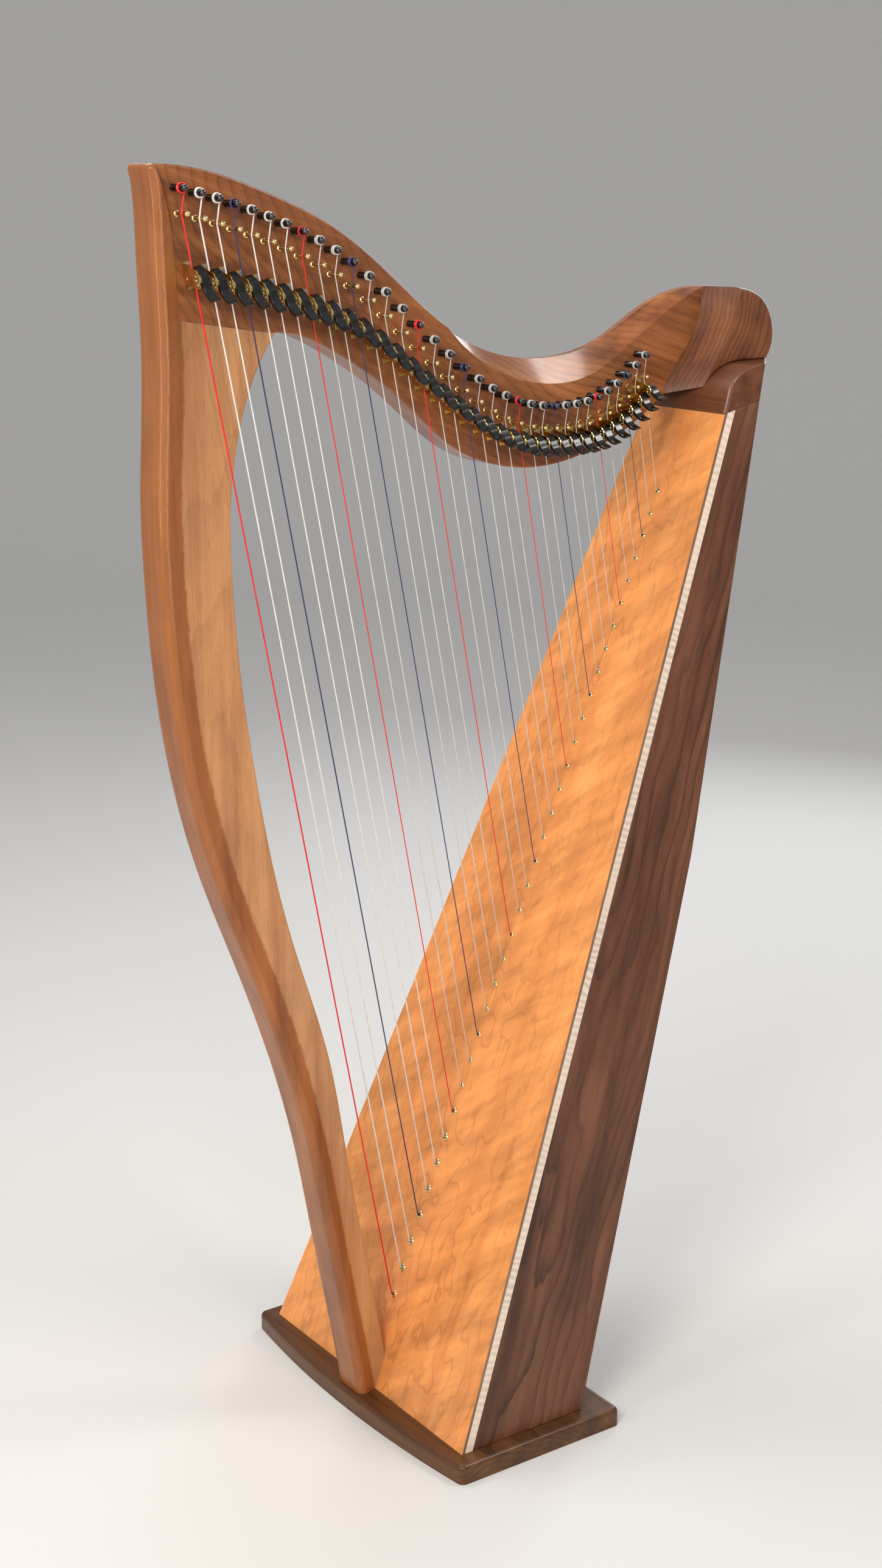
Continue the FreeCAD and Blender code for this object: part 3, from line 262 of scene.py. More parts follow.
def make_wood(name, along, across, tones, pith, pith_axis, ring=0.01, cone=0.0, wander=0.006,
              wobble=(3.0, 14.0), lines=0.45, streak=1.0, shimmer=0.0, shimmer_size=(22.0, 40.0),
              stripes=0.0, pores=0.3, rough=0.36, coat=0.2, seed=0.0, thin=0.35, slant=0.0, front=None):
    """Varnished wood: growth rings round a pith, streaks, fibres, pores and figure.

    tones are its light, middle and dark colours; pith and pith_axis place the tree's middle.
    ring is the width of a ring, cone opens the rings along the axis, and wander and wobble bend
    them. lines, streak, stripes and pores are the strengths of each kind of figure, and shimmer
    is the strength of the flame figure's bands, partly the wood's figure and partly painted sheen.
    thin narrows the dark lines, slant leans the shimmer, and front gives the redder colours
    of the pillar's front.
    """
    shader = Shader(name)
    place = shader.vector_math("ADD", shader.place, (seed, 0.0, 0.0)) if seed else shader.place
    frame_axes = grain_frame(along, across)
    a, b, c = [shader.vector_math("DOT_PRODUCT", place, tuple(axis)) for axis in frame_axes]

    def stretched(length_rate, width_rate, detail=2.0, roughness=0.5, lean=0.0):
        length = shader.maths("ADD", a, shader.maths("MULTIPLY", b, lean)) if lean else a
        spot = shader.combine(shader.maths("MULTIPLY", length, length_rate),
                              shader.maths("MULTIPLY", b, width_rate),
                              shader.maths("MULTIPLY", c, width_rate))
        return shader.noise(spot, 1.0, detail, roughness)

    axis, side, deep = grain_frame(pith_axis, across if abs(Vector(pith_axis).dot(Vector(across))) < 0.9
                                   else along)
    from_pith = shader.vector_math("SUBTRACT", shader.place, pith)
    u = shader.vector_math("DOT_PRODUCT", from_pith, tuple(side))
    v = shader.vector_math("DOT_PRODUCT", from_pith, tuple(deep))
    w = shader.vector_math("DOT_PRODUCT", from_pith, tuple(axis))
    radius = shader.maths("POWER", shader.maths("ADD", shader.maths("MULTIPLY", u, u),
                                                shader.maths("MULTIPLY", v, v)), 0.5)
    radius = shader.maths("ADD", radius, shader.maths("MULTIPLY", w, cone))
    sway = shader.maths("SUBTRACT", stretched(*wobble, 2.0), 0.5)
    radius = shader.maths("ADD", radius, shader.maths("MULTIPLY", sway, 4.0 * wander))
    frayed = shader.maths("MULTIPLY", stretched(30.0, 260.0, 2.0), 0.22)
    saw = shader.maths("FRACT", shader.maths("ADD", shader.maths("DIVIDE", radius, ring), frayed))
    late = shader.maths("MULTIPLY", shader.spread(saw, thin, 0.93), shader.spread(saw, 1.0, 0.95))
    late = shader.maths("MULTIPLY", shader.maths("MULTIPLY", late, late),
                        shader.spread(stretched(2.0, 9.0), 0.3, 0.65, 0.35, 1.0))
    fibres = stretched(10.0, 640.0, 3.0, 0.6)
    streaks = stretched(1.6, 34.0, 4.0, 0.6)
    tone = shader.maths("ADD", shader.spread(streaks, 0.5 - 0.24 / streak, 0.5 + 0.24 / streak),
                        shader.maths("MULTIPLY", shader.maths("SUBTRACT", fibres, 0.5), 0.35), clamp=True)
    light, middle, dark = tones
    colour = shader.ramp(tone, [(0.0, light), (0.5, middle), (1.0, dark)])
    if front:
        redder = shader.ramp(tone, list(zip((0.0, 0.5, 1.0), front)))
        colour = shader.mix(pillar_front_mask(shader), colour, redder)
    line_colour = (*(0.55 * d for d in dark), 1)
    colour = shader.mix(shader.maths("MULTIPLY", late, lines), colour, line_colour)
    pore = shader.spread(stretched(70.0, 1500.0, 1.0), 0.60, 0.72)
    colour = shader.mix(shader.maths("MULTIPLY", pore, pores), colour, line_colour)
    # The flame figure's bands are partly the wood's own figure and partly painted sheen: they darken the
    # colour and also lighten it past the wood's own tone.
    if shimmer:
        flame_and_sheen = shader.spread(stretched(*shimmer_size, 3.0, 0.55, slant), 0.3, 0.7,
                              1.0 - shimmer, 1.0 + 0.7 * shimmer)
        colour = shader.mix(1.0, colour, shader.combine(flame_and_sheen, flame_and_sheen, flame_and_sheen), "MULTIPLY")
    if stripes:
        sweep = shader.maths("MULTIPLY", shader.maths("SUBTRACT", stretched(30.0, 30.0), 0.5), 12.0)
        wave = shader.maths("SINE", shader.maths("ADD", shader.maths("MULTIPLY", a, 800.0), sweep))
        depth = shader.spread(stretched(14.0, 10.0), 0.35, 0.65, 0.2 * stripes, stripes)
        band = shader.maths("SUBTRACT", 1.0, shader.maths("MULTIPLY", shader.spread(wave, -1.0, 1.0), depth))
        colour = shader.mix(1.0, colour, shader.combine(band, band, band), "MULTIPLY")
    gloss = shader.noise(shader.place, 24.0, 2.0)
    shader.set(Base_Color=colour, Roughness=shader.spread(gloss, 0.3, 0.7, rough - 0.05, rough + 0.07),
               Coat_Weight=coat, Coat_Roughness=0.12, Specular_IOR_Level=0.28)
    relief = shader.maths("SUBTRACT", shader.maths("MULTIPLY", fibres, 0.5),
                          shader.maths("MULTIPLY", pore, 0.6))
    shader.bump(relief, 0.1 * MM, 0.5)
    return shader.material


def make_woods():
    """Every wood of the harp, each with the tones and the figure of its own board."""
    walnut = ((0.40, 0.150, 0.046), (0.27, 0.088, 0.026), (0.120, 0.036, 0.013))
    shoulder = ((0.31, 0.104, 0.032), (0.21, 0.066, 0.021), (0.088, 0.027, 0.010))
    side = ((0.205, 0.083, 0.042), (0.142, 0.053, 0.027), (0.074, 0.027, 0.015))
    block = ((0.19, 0.068, 0.026), (0.128, 0.043, 0.017), (0.064, 0.022, 0.010))
    base = ((0.170, 0.070, 0.022), (0.110, 0.043, 0.014), (0.050, 0.019, 0.008))
    front = ((0.42, 0.150, 0.040), (0.32, 0.106, 0.028), (0.185, 0.057, 0.017))
    tan = ((0.64, 0.330, 0.145), (0.53, 0.250, 0.104), (0.34, 0.138, 0.058))
    cherry = ((0.91, 0.392, 0.128), (0.82, 0.318, 0.094), (0.64, 0.222, 0.060))
    maple = ((0.90, 0.77, 0.65), (0.86, 0.70, 0.57), (0.72, 0.53, 0.42))
    edge = ((0.34, 0.20, 0.12), (0.25, 0.14, 0.08), (0.13, 0.07, 0.045))
    up = (0.0, 0.03, 1.0)
    side_up = (math.cos(SIDE_ANGLE), 0.0, math.sin(SIDE_ANGLE))
    leaning = (math.cos(SIDE_ANGLE), 0.05, math.sin(SIDE_ANGLE))
    crosswise = (0.0, 1.0, 0.0)
    # Each board's shimmer sets its flame figure, partly real figure and partly painted sheen.
    return {
        "neck": make_wood("neck_walnut", (1.0, 0.0, -0.35), (0.35, 0.0, 1.0), walnut, pith=(0.62, 0.0, 1.78),
                          pith_axis=(0.0, -1.0, 0.0), ring=0.0105, cone=0.45, wander=0.016,
                          wobble=(5.0, 9.0), lines=0.58, streak=1.2, shimmer=0.24,
                          shimmer_size=(9.0, 14.0), coat=0.4),
        "shoulder": make_wood("shoulder_walnut", (0.4, 0.0, 1.0), (1.0, 0.0, -0.4), shoulder,
                              pith=(0.335, 0.0, 1.265), pith_axis=(0.0, -1.0, 0.0), ring=0.0078, cone=1.0,
                              wander=0.008, wobble=(9.0, 16.0), lines=0.85, streak=1.0, shimmer=0.38,
                              shimmer_size=(20.0, 16.0), coat=0.45, seed=3.0),
        "block": make_wood("block_walnut", crosswise, (1.0, 0.0, 0.0), block, pith=(0.5, 0.0, 1.35),
                           pith_axis=crosswise, ring=0.008, lines=0.35, coat=0.3, seed=5.0),
        "side": make_wood("side_walnut", side_up, (1.0, 0.0, 0.0), side, pith=(0.13, -0.10, 0.3),
                          pith_axis=leaning, ring=0.0140, wander=0.019, wobble=(3.5, 12.0), lines=0.8,
                          streak=1.3, shimmer=0.14, shimmer_size=(6.0, 26.0), coat=0.1, seed=2.0),
        "back": make_wood("back_walnut", side_up, crosswise, side, pith=(0.0, 0.02, 0.1),
                          pith_axis=(math.cos(SIDE_ANGLE) + 0.06, 0.0, math.sin(SIDE_ANGLE)), ring=0.0105,
                          wander=0.01, wobble=(3.0, 12.0), lines=0.5, seed=7.0),
        "base": make_wood("base_walnut", crosswise, (1.0, 0.0, 0.0), base, pith=(0.05, 0.0, -0.12),
                          pith_axis=(0.05, 1.0, 0.03), ring=0.007, wander=0.006, lines=0.5, seed=11.0),
        "pillar": make_wood("pillar_walnut", up, (1.0, 0.0, 0.0), tan, pith=(-0.1, 0.4, 0.6),
                            pith_axis=(0.12, 0.05, 1.0), ring=0.012, wander=0.014, wobble=(2.5, 8.0),
                            lines=0.20, streak=0.9, pores=0.35, shimmer=0.14, shimmer_size=(9.0, 22.0),
                            coat=0.3, seed=6.0, front=front),
        "cherry": make_wood("soundboard_cherry", BOARD_UP, crosswise, cherry, pith=(0.26, -0.02, 0.3),
                            pith_axis=(BOARD_UP.x - 0.10, 0.03, BOARD_UP.z), ring=0.0125, wander=0.014,
                            wobble=(13.0, 22.0), lines=0.42, thin=0.68, streak=0.7, pores=0.10,
                            shimmer=0.23, shimmer_size=(38.0, 14.0), slant=0.75, seed=9.0),
        "ply": make_wood("board_edge", BOARD_UP, crosswise, edge, pith=(1.0, 0.0, 0.0), pith_axis=BOARD_UP,
                         lines=0.3, pores=0.2),
        "maple": make_wood("edge_maple", BOARD_UP, crosswise, maple, pith=(1.0, 0.0, 0.0),
                           pith_axis=BOARD_UP, ring=0.006, lines=0.08, streak=0.5, pores=0.05, stripes=0.30,
                           seed=1.0),
        "spruce": make_wood("inner_spruce", BOARD_UP, crosswise, maple, pith=(1.0, 0.0, 0.0),
                            pith_axis=BOARD_UP, ring=0.004, lines=0.25, streak=0.5, pores=0.1, rough=0.6,
                            coat=0.0),
    }


def make_metal(name, colour, rough, scratch=0.03, cloud=0.05, dark=0.82):
    """Polished metal, with faint clouds in its colour and gloss and fine scratches."""
    shader = Shader(name)
    cloudy = shader.noise(shader.place, 90.0, 2.0)
    brushed = shader.noise(shader.place, 2600.0, 2.0)
    worn = shader.mix(shader.spread(cloudy, 0.35, 0.7), (*colour, 1), (*(dark * v for v in colour), 1))
    roughness = shader.maths("ADD", shader.spread(cloudy, 0.3, 0.7, rough, rough + cloud),
                             shader.maths("MULTIPLY", brushed, scratch))
    shader.set(Base_Color=worn, Roughness=roughness, Metallic=1.0)
    shader.bump(brushed, 0.01 * MM, 0.2)
    return shader.material


def make_plastic(name, colour, rough):
    """Glossy moulded plastic with a slight haze."""
    shader = Shader(name)
    haze = shader.noise(shader.place, 300.0, 3.0)
    tint = shader.mix(shader.spread(haze, 0.3, 0.7), (*colour, 1), (*(1.6 * v for v in colour), 1))
    shader.set(Base_Color=tint, Roughness=shader.spread(haze, 0.3, 0.7, rough, rough + 0.04),
               Specular_IOR_Level=0.5)
    shader.bump(shader.noise(shader.place, 700.0, 2.0), 0.01 * MM, 0.08)
    return shader.material


def make_string_material(name, colour, winding=0.0, rough=0.28, clear=0.0):
    """Nylon or gut, and for the low strings the fine ribs of the winding."""
    shader = Shader(name)
    along = shader.vector_math("DOT_PRODUCT", shader.place, tuple(STRING_UP))
    tint = shader.noise(shader.combine(shader.maths("MULTIPLY", along, 60.0), 0.0, 0.0), 1.0, 2.0)
    shade = shader.mix(shader.spread(tint, 0.3, 0.7), (*colour, 1), (*(0.78 * v for v in colour), 1))
    shader.set(Base_Color=shade, Roughness=rough, Specular_IOR_Level=0.6, Transmission_Weight=clear)
    if winding:
        ribs = shader.maths("SINE", shader.maths("MULTIPLY", along, 2 * math.pi / winding))
        shader.bump(ribs, 0.12 * MM, 0.8)
    return shader.material


# ---- mesh helpers ----------------------------------------------------------------------------
WELD = 0.002 * MM


def add_piece(name, verts, faces, material, body, sharp):
    """A visible piece on a body, smooth but for the edges sharper than sharp degrees."""
    mesh = bpy.data.meshes.new(name)
    mesh.from_pydata([tuple(v) for v in verts], [], faces)
    mesh.validate()
    mesh.shade_smooth()
    mesh.set_sharp_from_angle(angle=math.radians(sharp))
    mesh.materials.append(material)
    piece = bpy.data.objects.new(name, mesh)
    bpy.context.scene.collection.objects.link(piece)
    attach(piece, body)
    return piece


def add_bevel(piece, width, segments=3, angle=35):
    bevel = piece.modifiers.new("soft_edges", "BEVEL")
    bevel.width = width
    bevel.segments = segments
    bevel.limit_method = "ANGLE"
    bevel.angle_limit = math.radians(angle)
    bevel.harden_normals = True


def dress(node, material, edge, angle=35):
    """A copy of a CAD node with smooth shading and softened edges."""
    mesh = NODES[node].data.copy()
    work = bmesh.new()
    work.from_mesh(mesh)
    bmesh.ops.remove_doubles(work, verts=work.verts, dist=WELD)
    bmesh.ops.dissolve_limit(work, angle_limit=math.radians(0.4), verts=work.verts, edges=work.edges)
    work.to_mesh(mesh)
    work.free()
    mesh.shade_smooth()
    mesh.set_sharp_from_angle(angle=math.radians(angle))
    mesh.materials.clear()
    mesh.materials.append(material)
    piece = bpy.data.objects.new(node + "_dressed", mesh)
    bpy.context.scene.collection.objects.link(piece)
    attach(piece, BODY)
    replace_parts(piece, node)
    add_bevel(piece, edge, angle=angle)
    return piece


def islands(node):
    """The boxes of a node's separate solids, in the order of their middles' x."""
    work = bmesh.new()
    work.from_mesh(NODES[node].data)
    bmesh.ops.remove_doubles(work, verts=work.verts, dist=WELD)
    seen = set()
    boxes = []
    for start in work.verts:
        if start.index in seen:
            continue
        stack = [start]
        seen.add(start.index)
        points = []
        while stack:
            vert = stack.pop()
            points.append(vert.co.copy())
            for edge in vert.link_edges:
                other = edge.other_vert(vert)
                if other.index not in seen:
                    seen.add(other.index)
                    stack.append(other)
        low = Vector([min(p[k] for p in points) for k in range(3)])
        high = Vector([max(p[k] for p in points) for k in range(3)])
        boxes.append((low, high))
    work.free()
    return sorted(boxes, key=lambda box: box[0].x + box[1].x)


class Batch:
    """Collects many small shapes into one mesh."""

    def __init__(self):
        self.verts = []
        self.faces = []

    def add(self, verts, faces, place):
        start = len(self.verts)
        self.verts += [place @ Vector(v) for v in verts]
        self.faces += [tuple(start + k for k in face) for face in faces]

    def piece(self, name, material, slot, sharp=40):
        return add_piece(name, self.verts, self.faces, material, BODY, sharp)


def lathe(profile, segments=28):
    """A closed turned shape round Z from (radius, height) points that start and end on the axis."""
    verts = [(0, 0, profile[0][1])]
    for radius, height in profile[1:-1]:
        for k in range(segments):
            turn = 2 * math.pi * k / segments
            verts.append((radius * math.cos(turn), radius * math.sin(turn), height))
    verts.append((0, 0, profile[-1][1]))
    rings = len(profile) - 2
    last = len(verts) - 1
    faces = [(0, 1 + (k + 1) % segments, 1 + k) for k in range(segments)]
    for ring in range(rings - 1):
        for k in range(segments):
            n = (k + 1) % segments
            low, high = 1 + ring * segments, 1 + (ring + 1) * segments
            faces.append((low + k, low + n, high + n, high + k))
    top = 1 + (rings - 1) * segments
    faces += [(top + k, top + (k + 1) % segments, last) for k in range(segments)]
    return verts, faces


def lathe_hollow(profile, segments=28):
    """A turned ring round Z whose (radius, height) outline closes on itself."""
    verts = []
    for radius, height in profile:
        for k in range(segments):
            turn = 2 * math.pi * k / segments
            verts.append((radius * math.cos(turn), radius * math.sin(turn), height))
    faces = []
    count = len(profile)
    for ring in range(count):
        low, high = ring * segments, ((ring + 1) % count) * segments
        for k in range(segments):
            n = (k + 1) % segments
            faces.append((low + k, low + n, high + n, high + k))
    return verts, faces


def stand(point, up, side):
    """A placement whose Z is up and whose X is near side."""
    up = Vector(up).normalized()
    y = up.cross(Vector(side)).normalized()
    x = y.cross(up)
    turn = Matrix((x, y, up)).transposed().to_4x4()
    return Matrix.Translation(point) @ turn


def smooth_line(points, steps):
    """A smooth line through 2-D points, with the given number of steps between two of them."""
    ends = [points[0]] + list(points) + [points[-1]]
    line = []
    for k in range(len(points) - 1):
        p0, p1, p2, p3 = (Vector(p) for p in ends[k:k + 4])
        for s in range(steps):
            t = s / steps
            line.append(0.5 * (2 * p1 + (p2 - p0) * t + (2 * p0 - 5 * p1 + 4 * p2 - p3) * t * t
                               + (3 * p1 - p0 - 3 * p2 + p3) * t * t * t))
    line.append(Vector(points[-1]))
    return line


# ---- the string band -------------------------------------------------------------------------
# The lowest WOUND strings are wound, and each is thinner than the one before it.
WOUND = 8
WOUND_RADIUS, WOUND_THINNING = 0.9 * MM, 0.035 * MM
# A string comes from RIB_BACK behind the soundboard's face, and bends over its eyelet's rim.
RIB_BACK, STRING_HEIGHT = 11.5 * MM, 2.4 * MM
EYELET_WOUND, EYELET_PLAIN, EYELET_DEPTH = 5.0 * MM, 3.5 * MM, 3.4 * MM
# Tuning pins: the step down to a thinner tip, and the square key end behind the neck.
PIN_RADIUS = 3.6 * MM
TIP_STEP, TIP_SHOULDER, TIP_ROUND, TIP_SHARE = 9.0 * MM, 0.5 * MM, 2.6 * MM, 0.93
KEY_LENGTH, KEY_HALF_WIDE, KEY_HALF_NARROW = 13.0 * MM, 2.6 * MM, 2.2 * MM
# Bridge pins: the root in the neck, the collar on it, the groove and the ball.
PIN_ROOT = 14.0 * MM
COLLAR_SHARE, COLLAR_TOP, COLLAR_FOOT = 1.5, 0.7 * MM, 1.1 * MM
PIN_GROOVE, GROOVE_HALF, GROOVE_RIM = 0.45 * MM, 1.0 * MM, 1.8 * MM
BALL_SHARE = 1.45
# The coil on the tuning pin: turns, steps in a turn, and how far a turn moves in string radii.
WOUND_TURNS, PLAIN_TURNS, TURN_STEPS, COIL_PITCH = 2.2, 4.2, 22, 2.1
BOARD_FACE = Vector((0, 0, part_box("base_board")[1][2])).dot(BOARD_OUT)


def taper(lowest, change, share):
    """A size that changes evenly from the lowest string, share 0, to the highest, share 1."""
    return (lowest + change * share) * MM


class Course:
    """One string with its pins and its lever, read from the CAD solids."""

    def __init__(self, index, count, eyelet, nut_pin, tuner, joint):
        share = index / (count - 1)
        self.number = index + 1
        self.wound = index < WOUND
        self.radius = WOUND_RADIUS - WOUND_THINNING * index if self.wound else taper(0.78, -0.42, share)
        self.nut_radius = taper(2.2, -0.5, share)
        nut_axis = (nut_pin[0] + nut_pin[1]) / 2
        self.nut_axis = Vector((nut_axis.x, 0, nut_axis.z))
        self.nut_tip = nut_pin[0].y
        pin_axis = (tuner[0] + tuner[1]) / 2
        self.pin_axis = Vector((pin_axis.x, 0, pin_axis.z))
        self.pin_tip, self.pin_key = tuner[0].y, tuner[1].y
        middle = (eyelet[0] + eyelet[1]) / 2
        self.eyelet_radius = EYELET_WOUND if self.wound else EYELET_PLAIN
        off_face = middle.dot(BOARD_OUT) - BOARD_FACE
        self.eyelet = Vector((middle.x, 0, middle.z)) - BOARD_OUT * off_face
        self.foot = self.eyelet + BOARD_OUT * (STRING_HEIGHT + self.radius)
        self.pivot = Vector(joint["pos_m"])
        self.size = 1.0 - 0.2 * share
        self.rest = math.radians(38.0 + 27.0 * share)
        self.handle_start = taper(1.7, -0.5, share)
        self.handle_width = taper(9.4, -0.6, share)
        self.body = joint["child"]


def read_courses():
    """Every string from the lowest up, matched with its eyelet, its pins and its lever."""
    joints = [j for j in frame["joints"] if j["child"].startswith("lever_")]
    joints.sort(key=lambda j: j["child"])
    sets = [islands(node) for node in ("string_eyelets", "bridge_pins", "tuning_pins")]
    count = len(joints)
    return [Course(k, count, sets[0][k], sets[1][k], sets[2][k], joints[k]) for k in range(count)]


def string_points(course):
    """Up through the eyelet, round the pillar's side of the bridge pin, then wound on the tuning pin."""
    radius = course.radius
    groove = course.nut_radius + radius - PIN_GROOVE
    coil = PIN_RADIUS + radius
    reach = course.pin_axis - course.nut_axis
    swing = math.asin((groove + coil) / reach.length)
    run = Matrix.Rotation(swing, 3, "Y") @ reach.normalized()
    side = Vector((run.z, 0, -run.x))
    points = [course.eyelet - BOARD_OUT * RIB_BACK, course.foot]
    points += [course.nut_axis - ACROSS.lerp(side, k / 4).normalized() * groove for k in range(5)]
    turns = WOUND_TURNS if course.wound else PLAIN_TURNS
    for k in range(int(turns * TURN_STEPS) + 1):
        turn = 2 * math.pi * k / TURN_STEPS
        outward = side * math.cos(turn) + run * math.sin(turn)
        points.append(course.pin_axis + outward * coil + OUT * radius * COIL_PITCH * k / TURN_STEPS)
    return points


def make_strings(name, courses, material, node):
    """The strings of one kind, as round curves of their real thickness."""
    curve = bpy.data.curves.new(name, "CURVE")
    curve.dimensions = "3D"
    curve.bevel_depth = MM
    curve.bevel_resolution = 3
    curve.use_fill_caps = True
    for course in courses:
        points = string_points(course)
        spline = curve.splines.new("POLY")
        spline.points.add(len(points) - 1)
        for place, point in zip(spline.points, points):
            place.co = (*point, 1)
            place.radius = course.radius / MM
    curve.materials.append(material)
    piece = bpy.data.objects.new(name, curve)
    bpy.context.scene.collection.objects.link(piece)
    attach(piece, BODY)
    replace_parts(piece, node)


def make_tuning_pins(courses, material):
    """Steel pins with a stepped, rounded tip and a tapered square end behind the neck."""
    batch = Batch()
    tip_steps, overlap = 6, 0.5 * MM
    r, tip = PIN_RADIUS, TIP_SHARE * PIN_RADIUS
    for course in courses:
        length = NECK_FACE - course.pin_tip
        back = course.pin_key - NECK_FACE - KEY_LENGTH
        profile = [(0, -back), (r, -back), (r, length - TIP_STEP - TIP_SHOULDER), (tip, length - TIP_STEP)]
        for k in range(tip_steps):
            turn = 0.5 * math.pi * k / tip_steps
            profile.append((tip * math.cos(turn), length - TIP_ROUND * (1 - math.sin(turn))))
        profile.append((0, length))
        place = stand(course.pin_axis + Vector((0, NECK_FACE, 0)), OUT, ACROSS)
        batch.add(*lathe(profile), place)
        ends = ((-back + overlap, KEY_HALF_WIDE), (-back - KEY_LENGTH, KEY_HALF_NARROW))
        verts = [(sx * half, sy * half, z) for z, half in ends
                 for sx, sy in ((-1, -1), (1, -1), (1, 1), (-1, 1))]
        faces = [(0, 1, 2, 3), (7, 6, 5, 4)] + [(k, k + 4, (k + 1) % 4 + 4, (k + 1) % 4) for k in range(4)]
        batch.add(verts, faces, place)
    piece = batch.piece("tuning_pins_turned", material, "blued_steel", sharp=50)
    add_bevel(piece, 0.35 * MM, 2, 60)
    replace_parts(piece, "tuning_pins")


def make_bridge_pins(courses, material):
    """Brass pins with a collar at the neck, a groove for the string and a ball end."""
    batch = Batch()
    steps = 9
    for course in courses:
        r = course.nut_radius
        ball = BALL_SHARE * r
        centre = NECK_FACE - (course.nut_tip + ball)
        neck_turn = math.asin(r / ball)
        collar = COLLAR_SHARE * r
        profile = [(0, -PIN_ROOT), (r, -PIN_ROOT), (collar, 0.0), (collar, COLLAR_TOP),
                   (r, COLLAR_FOOT), (r, NECK_FACE - GROOVE_RIM),
                   (r - PIN_GROOVE, NECK_FACE - GROOVE_HALF), (r - PIN_GROOVE, NECK_FACE + GROOVE_HALF),
                   (r, min(NECK_FACE + GROOVE_RIM, centre - ball * math.cos(neck_turn)))]
        for k in range(steps + 1):
            turn = neck_turn + (math.pi - neck_turn) * k / (steps + 1)
            profile.append((ball * math.sin(turn), centre - ball * math.cos(turn)))
        profile.append((0, centre + ball))
        place = stand(course.nut_axis + Vector((0, NECK_FACE, 0)), OUT, ACROSS)
        batch.add(*lathe(profile, 24), place)
    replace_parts(batch.piece("bridge_pins_turned", material, "brass", sharp=50), "bridge_pins")


def make_eyelets(courses, material):
    """Turned brass eyelets with a rolled rim, standing on the soundboard."""
    batch = Batch()
    for course in courses:
        flange = course.eyelet_radius
        bore = 0.34 * flange
        tube = 0.6 * flange
        profile = [(bore, -EYELET_DEPTH), (tube, -EYELET_DEPTH), (tube, 0.02 * MM), (flange, 0.02 * MM),
                   (0.97 * flange, 0.6 * MM), (0.86 * flange, 1.2 * MM), (0.7 * flange, 1.75 * MM),
                   (0.52 * flange, 1.95 * MM), (1.1 * bore, 1.8 * MM), (bore, 1.3 * MM)]
        batch.add(*lathe_hollow(profile), stand(course.eyelet, BOARD_OUT, (0, 1, 0)))
    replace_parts(batch.piece("string_eyelets_turned", material, "brass", sharp=50), "string_eyelets")


# ---- levers ----------------------------------------------------------------------------------
# The largest lever's outline, as (along the handle, over it) in millimetres from its pivot.
HANDLE_UPPER = [(-14.5, 1.8), (-11.0, 3.4), (-5.0, 4.6), (0.0, 4.6), (5.0, 2.6), (10.0, 0.1), (16.0, -1.0),
                (22.0, 0.0), (26.4, 1.6)]
HANDLE_LOWER = [(26.6, -1.2), (22.0, -3.4), (16.0, -4.8), (10.0, -4.6), (5.0, -3.8), (0.0, -3.3),
                (-5.0, -2.2), (-11.0, -1.2), (-14.5, -1.2)]
HANDLE_BACK = (-16.0, 0.4)
HANDLE_LENGTH = 42.6
# Its sides spread towards the tip, and stay HUB_CLEAR from the string.
HANDLE_FLARE, FLARE_START, HUB_CLEAR = 0.7 * MM, 0.35, 1.1 * MM
# The cam is round with one lobe at CAM_TURN degrees, and ends inside the handle.
CAM_BACK, CAM_INTO_HANDLE = -1.6 * MM, 0.3 * MM
CAM_RADIUS, CAM_LOBE, CAM_TURN, CAM_STEPS = 4.0, 2.1, 95.0, 36


def make_lever(course, black, brass):
    """A glossy curved handle, flared to its tip, and the brass cam on its hub."""
    size = course.size * MM
    along = Vector((0, math.sin(course.rest), -math.cos(course.rest)))
    over = Vector((0, math.cos(course.rest), math.sin(course.rest)))
    to_row = Matrix((ACROSS, OUT, STRING_UP)).transposed().to_4x4()
    place = Matrix.Translation(course.pivot) @ to_row
    outline = smooth_line(HANDLE_UPPER, 4) + smooth_line(HANDLE_LOWER, 4) + [Vector(HANDLE_BACK)]
    verts = []
    for edge, sign in ((course.handle_start, -1), (course.handle_start + course.handle_width, 1)):
        for point in outline:
            reach = (point[0] - HANDLE_BACK[0]) / HANDLE_LENGTH
            u = edge + sign * HANDLE_FLARE * (reach - FLARE_START)
            u = max(u, HUB_CLEAR + course.radius * 0.4)
            flat = along * point[0] * size + over * point[1] * size
            verts.append((u, flat.y, flat.z))
    count = len(outline)
    faces = [tuple(range(count))[::-1], tuple(range(count, 2 * count))]
    faces += [(k, (k + 1) % count, (k + 1) % count + count, k + count) for k in range(count)]
    handle = add_piece(course.body + "_handle", [place @ Vector(v) for v in verts], faces, black,
                       course.body, 30)
    add_bevel(handle, 0.7 * MM, 3, 45)
    ring = []
    for k in range(CAM_STEPS):
        turn = 2 * math.pi * k / CAM_STEPS
        swell = max(0.0, math.cos(turn - math.radians(CAM_TURN))) ** 6
        radius = (CAM_RADIUS + CAM_LOBE * swell) * size
        ring.append((radius * math.cos(turn), radius * math.sin(turn)))
    sides = (CAM_BACK, course.handle_start + CAM_INTO_HANDLE)
    verts = [(u, out, up) for u in sides for out, up in ring]
    faces = [tuple(range(CAM_STEPS))[::-1], tuple(range(CAM_STEPS, 2 * CAM_STEPS))]
    faces += [(k, (k + 1) % CAM_STEPS, (k + 1) % CAM_STEPS + CAM_STEPS, k + CAM_STEPS)
              for k in range(CAM_STEPS)]
    cam = add_piece(course.body + "_cam", [place @ Vector(v) for v in verts], faces, brass,
                    course.body, 30)
    add_bevel(cam, 0.35 * MM, 2, 50)
    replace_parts(handle, course.body)
    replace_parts(cam, course.body)


# Where the largest bracket has its rivets, as (out from the neck, up the string) in millimetres.
RIVETS = ((-16.5, 1.5), (3.6, -3.6), (2.2, 4.6))
RIVET_RADIUS = 1.25 * MM
EAR_FACE = 3.0 * MM


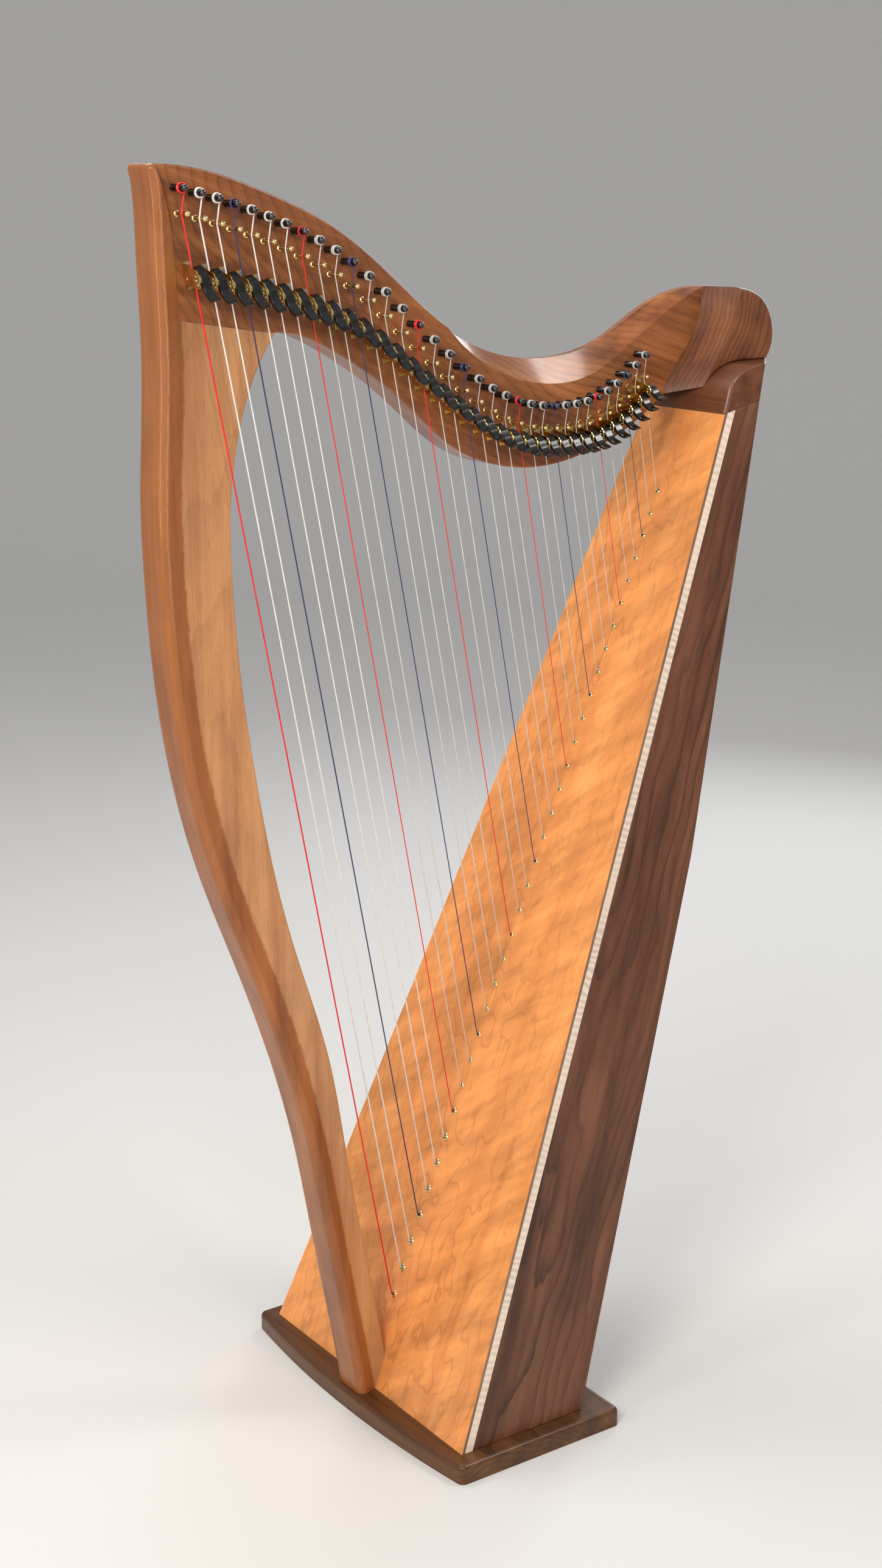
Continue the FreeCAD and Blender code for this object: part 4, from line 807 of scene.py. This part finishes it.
def make_rivets(courses, material):
    """Small domed heads on the outer face of each bracket's ear."""
    batch = Batch()
    for course in courses:
        size = course.size
        for out, up in RIVETS:
            point = course.pivot + (OUT * out + STRING_UP * up) * size * MM - ACROSS * EAR_FACE
            r = RIVET_RADIUS * size
            profile = [(0, -0.2 * MM), (r, -0.2 * MM), (r, 0.25 * MM), (0.8 * r, 0.6 * MM),
                       (0.35 * r, 0.75 * MM), (0, 0.78 * MM)]
            batch.add(*lathe(profile, 16), stand(point, -ACROSS, OUT))
    batch.piece("bracket_rivets", material, "steel")


# ---- putting it together ---------------------------------------------------------------------
# String 1 is a C, and every C is red and every F blue.
C_STRING, F_STRING, OCTAVE = 1, 4, 7


def split_board_edge(piece, face_material, edge_material):
    """The soundboard's cut edges show its layers, not its face."""
    mesh = piece.data
    mesh.materials.clear()
    mesh.materials.append(face_material)
    mesh.materials.append(edge_material)
    for face in mesh.polygons:
        face.material_index = 0 if abs(face.normal.dot(BOARD_OUT)) > 0.7 else 1


def main():
    """Stage the photo's view and dress every part of the harp."""
    make_camera()
    make_studio()
    woods = make_woods()
    brass = make_metal("lever_brass", (0.86, 0.63, 0.23), 0.13)
    pin_brass = make_metal("pin_brass", (0.86, 0.66, 0.30), 0.14)
    blued = make_metal("blued_steel", (0.095, 0.098, 0.11), 0.2)
    steel = make_metal("plain_steel", (0.6, 0.58, 0.55), 0.25)
    black = make_plastic("lever_black", (0.006, 0.006, 0.006), 0.15)
    board = dress("soundboard", woods["cherry"], edge=0.8 * MM)
    split_board_edge(board, woods["cherry"], woods["ply"])
    dress("edge_strip_left", woods["maple"], edge=0.5 * MM)
    dress("edge_strip_right", woods["maple"], edge=0.5 * MM)
    dress("side_panel_left", woods["side"], edge=1.2 * MM)
    dress("side_panel_right", woods["side"], edge=1.2 * MM)
    dress("back_panel", woods["back"], edge=1.0 * MM, angle=40)
    dress("shoulder_block", woods["block"], edge=1.2 * MM, angle=40)
    dress("lever_brackets", brass, edge=0.22 * MM)
    for node, material in (("base_board", woods["base"]), ("pillar", woods["pillar"]),
                           ("neck", woods["neck"]), ("shoulder_cheek", woods["shoulder"]),
                           ("string_rib", woods["spruce"]), ("bottom_block", woods["spruce"]),
                           ("soundbox_braces", woods["spruce"]), ("string_anchors", woods["spruce"]),
                           ("base_screws", steel), ("lever_screws", steel), ("lever_pivot_pins", steel)):
        NODES[node].data.materials.clear()
        NODES[node].data.materials.append(material)
    courses = read_courses()
    reds = [c for c in courses if c.number % OCTAVE == C_STRING]
    blues = [c for c in courses if c.number % OCTAVE == F_STRING]
    plain = [c for c in courses if c not in reds and c not in blues]
    red = make_string_material("string_red", (0.84, 0.016, 0.018))
    blue = make_string_material("string_blue", (0.035, 0.035, 0.12))
    wound = make_string_material("string_wound", (0.90, 0.86, 0.83), winding=1.1 * MM)
    clear = make_string_material("string_clear", (0.88, 0.86, 0.83), rough=0.15, clear=0.35)
    make_strings("strings_red_line", reds, red, "strings_red")
    make_strings("strings_blue_line", blues, blue, "strings_blue")
    make_strings("strings_wound_line", [c for c in plain if c.wound], wound, "strings_wound")
    make_strings("strings_clear_line", [c for c in plain if not c.wound], clear,
                 "strings_clear")
    make_tuning_pins(courses, blued)
    make_bridge_pins(courses, pin_brass)
    make_eyelets(courses, pin_brass)
    for course in courses:
        make_lever(course, black, brass)
    make_rivets(courses, steel)


main()
bpy.context.view_layer.update()
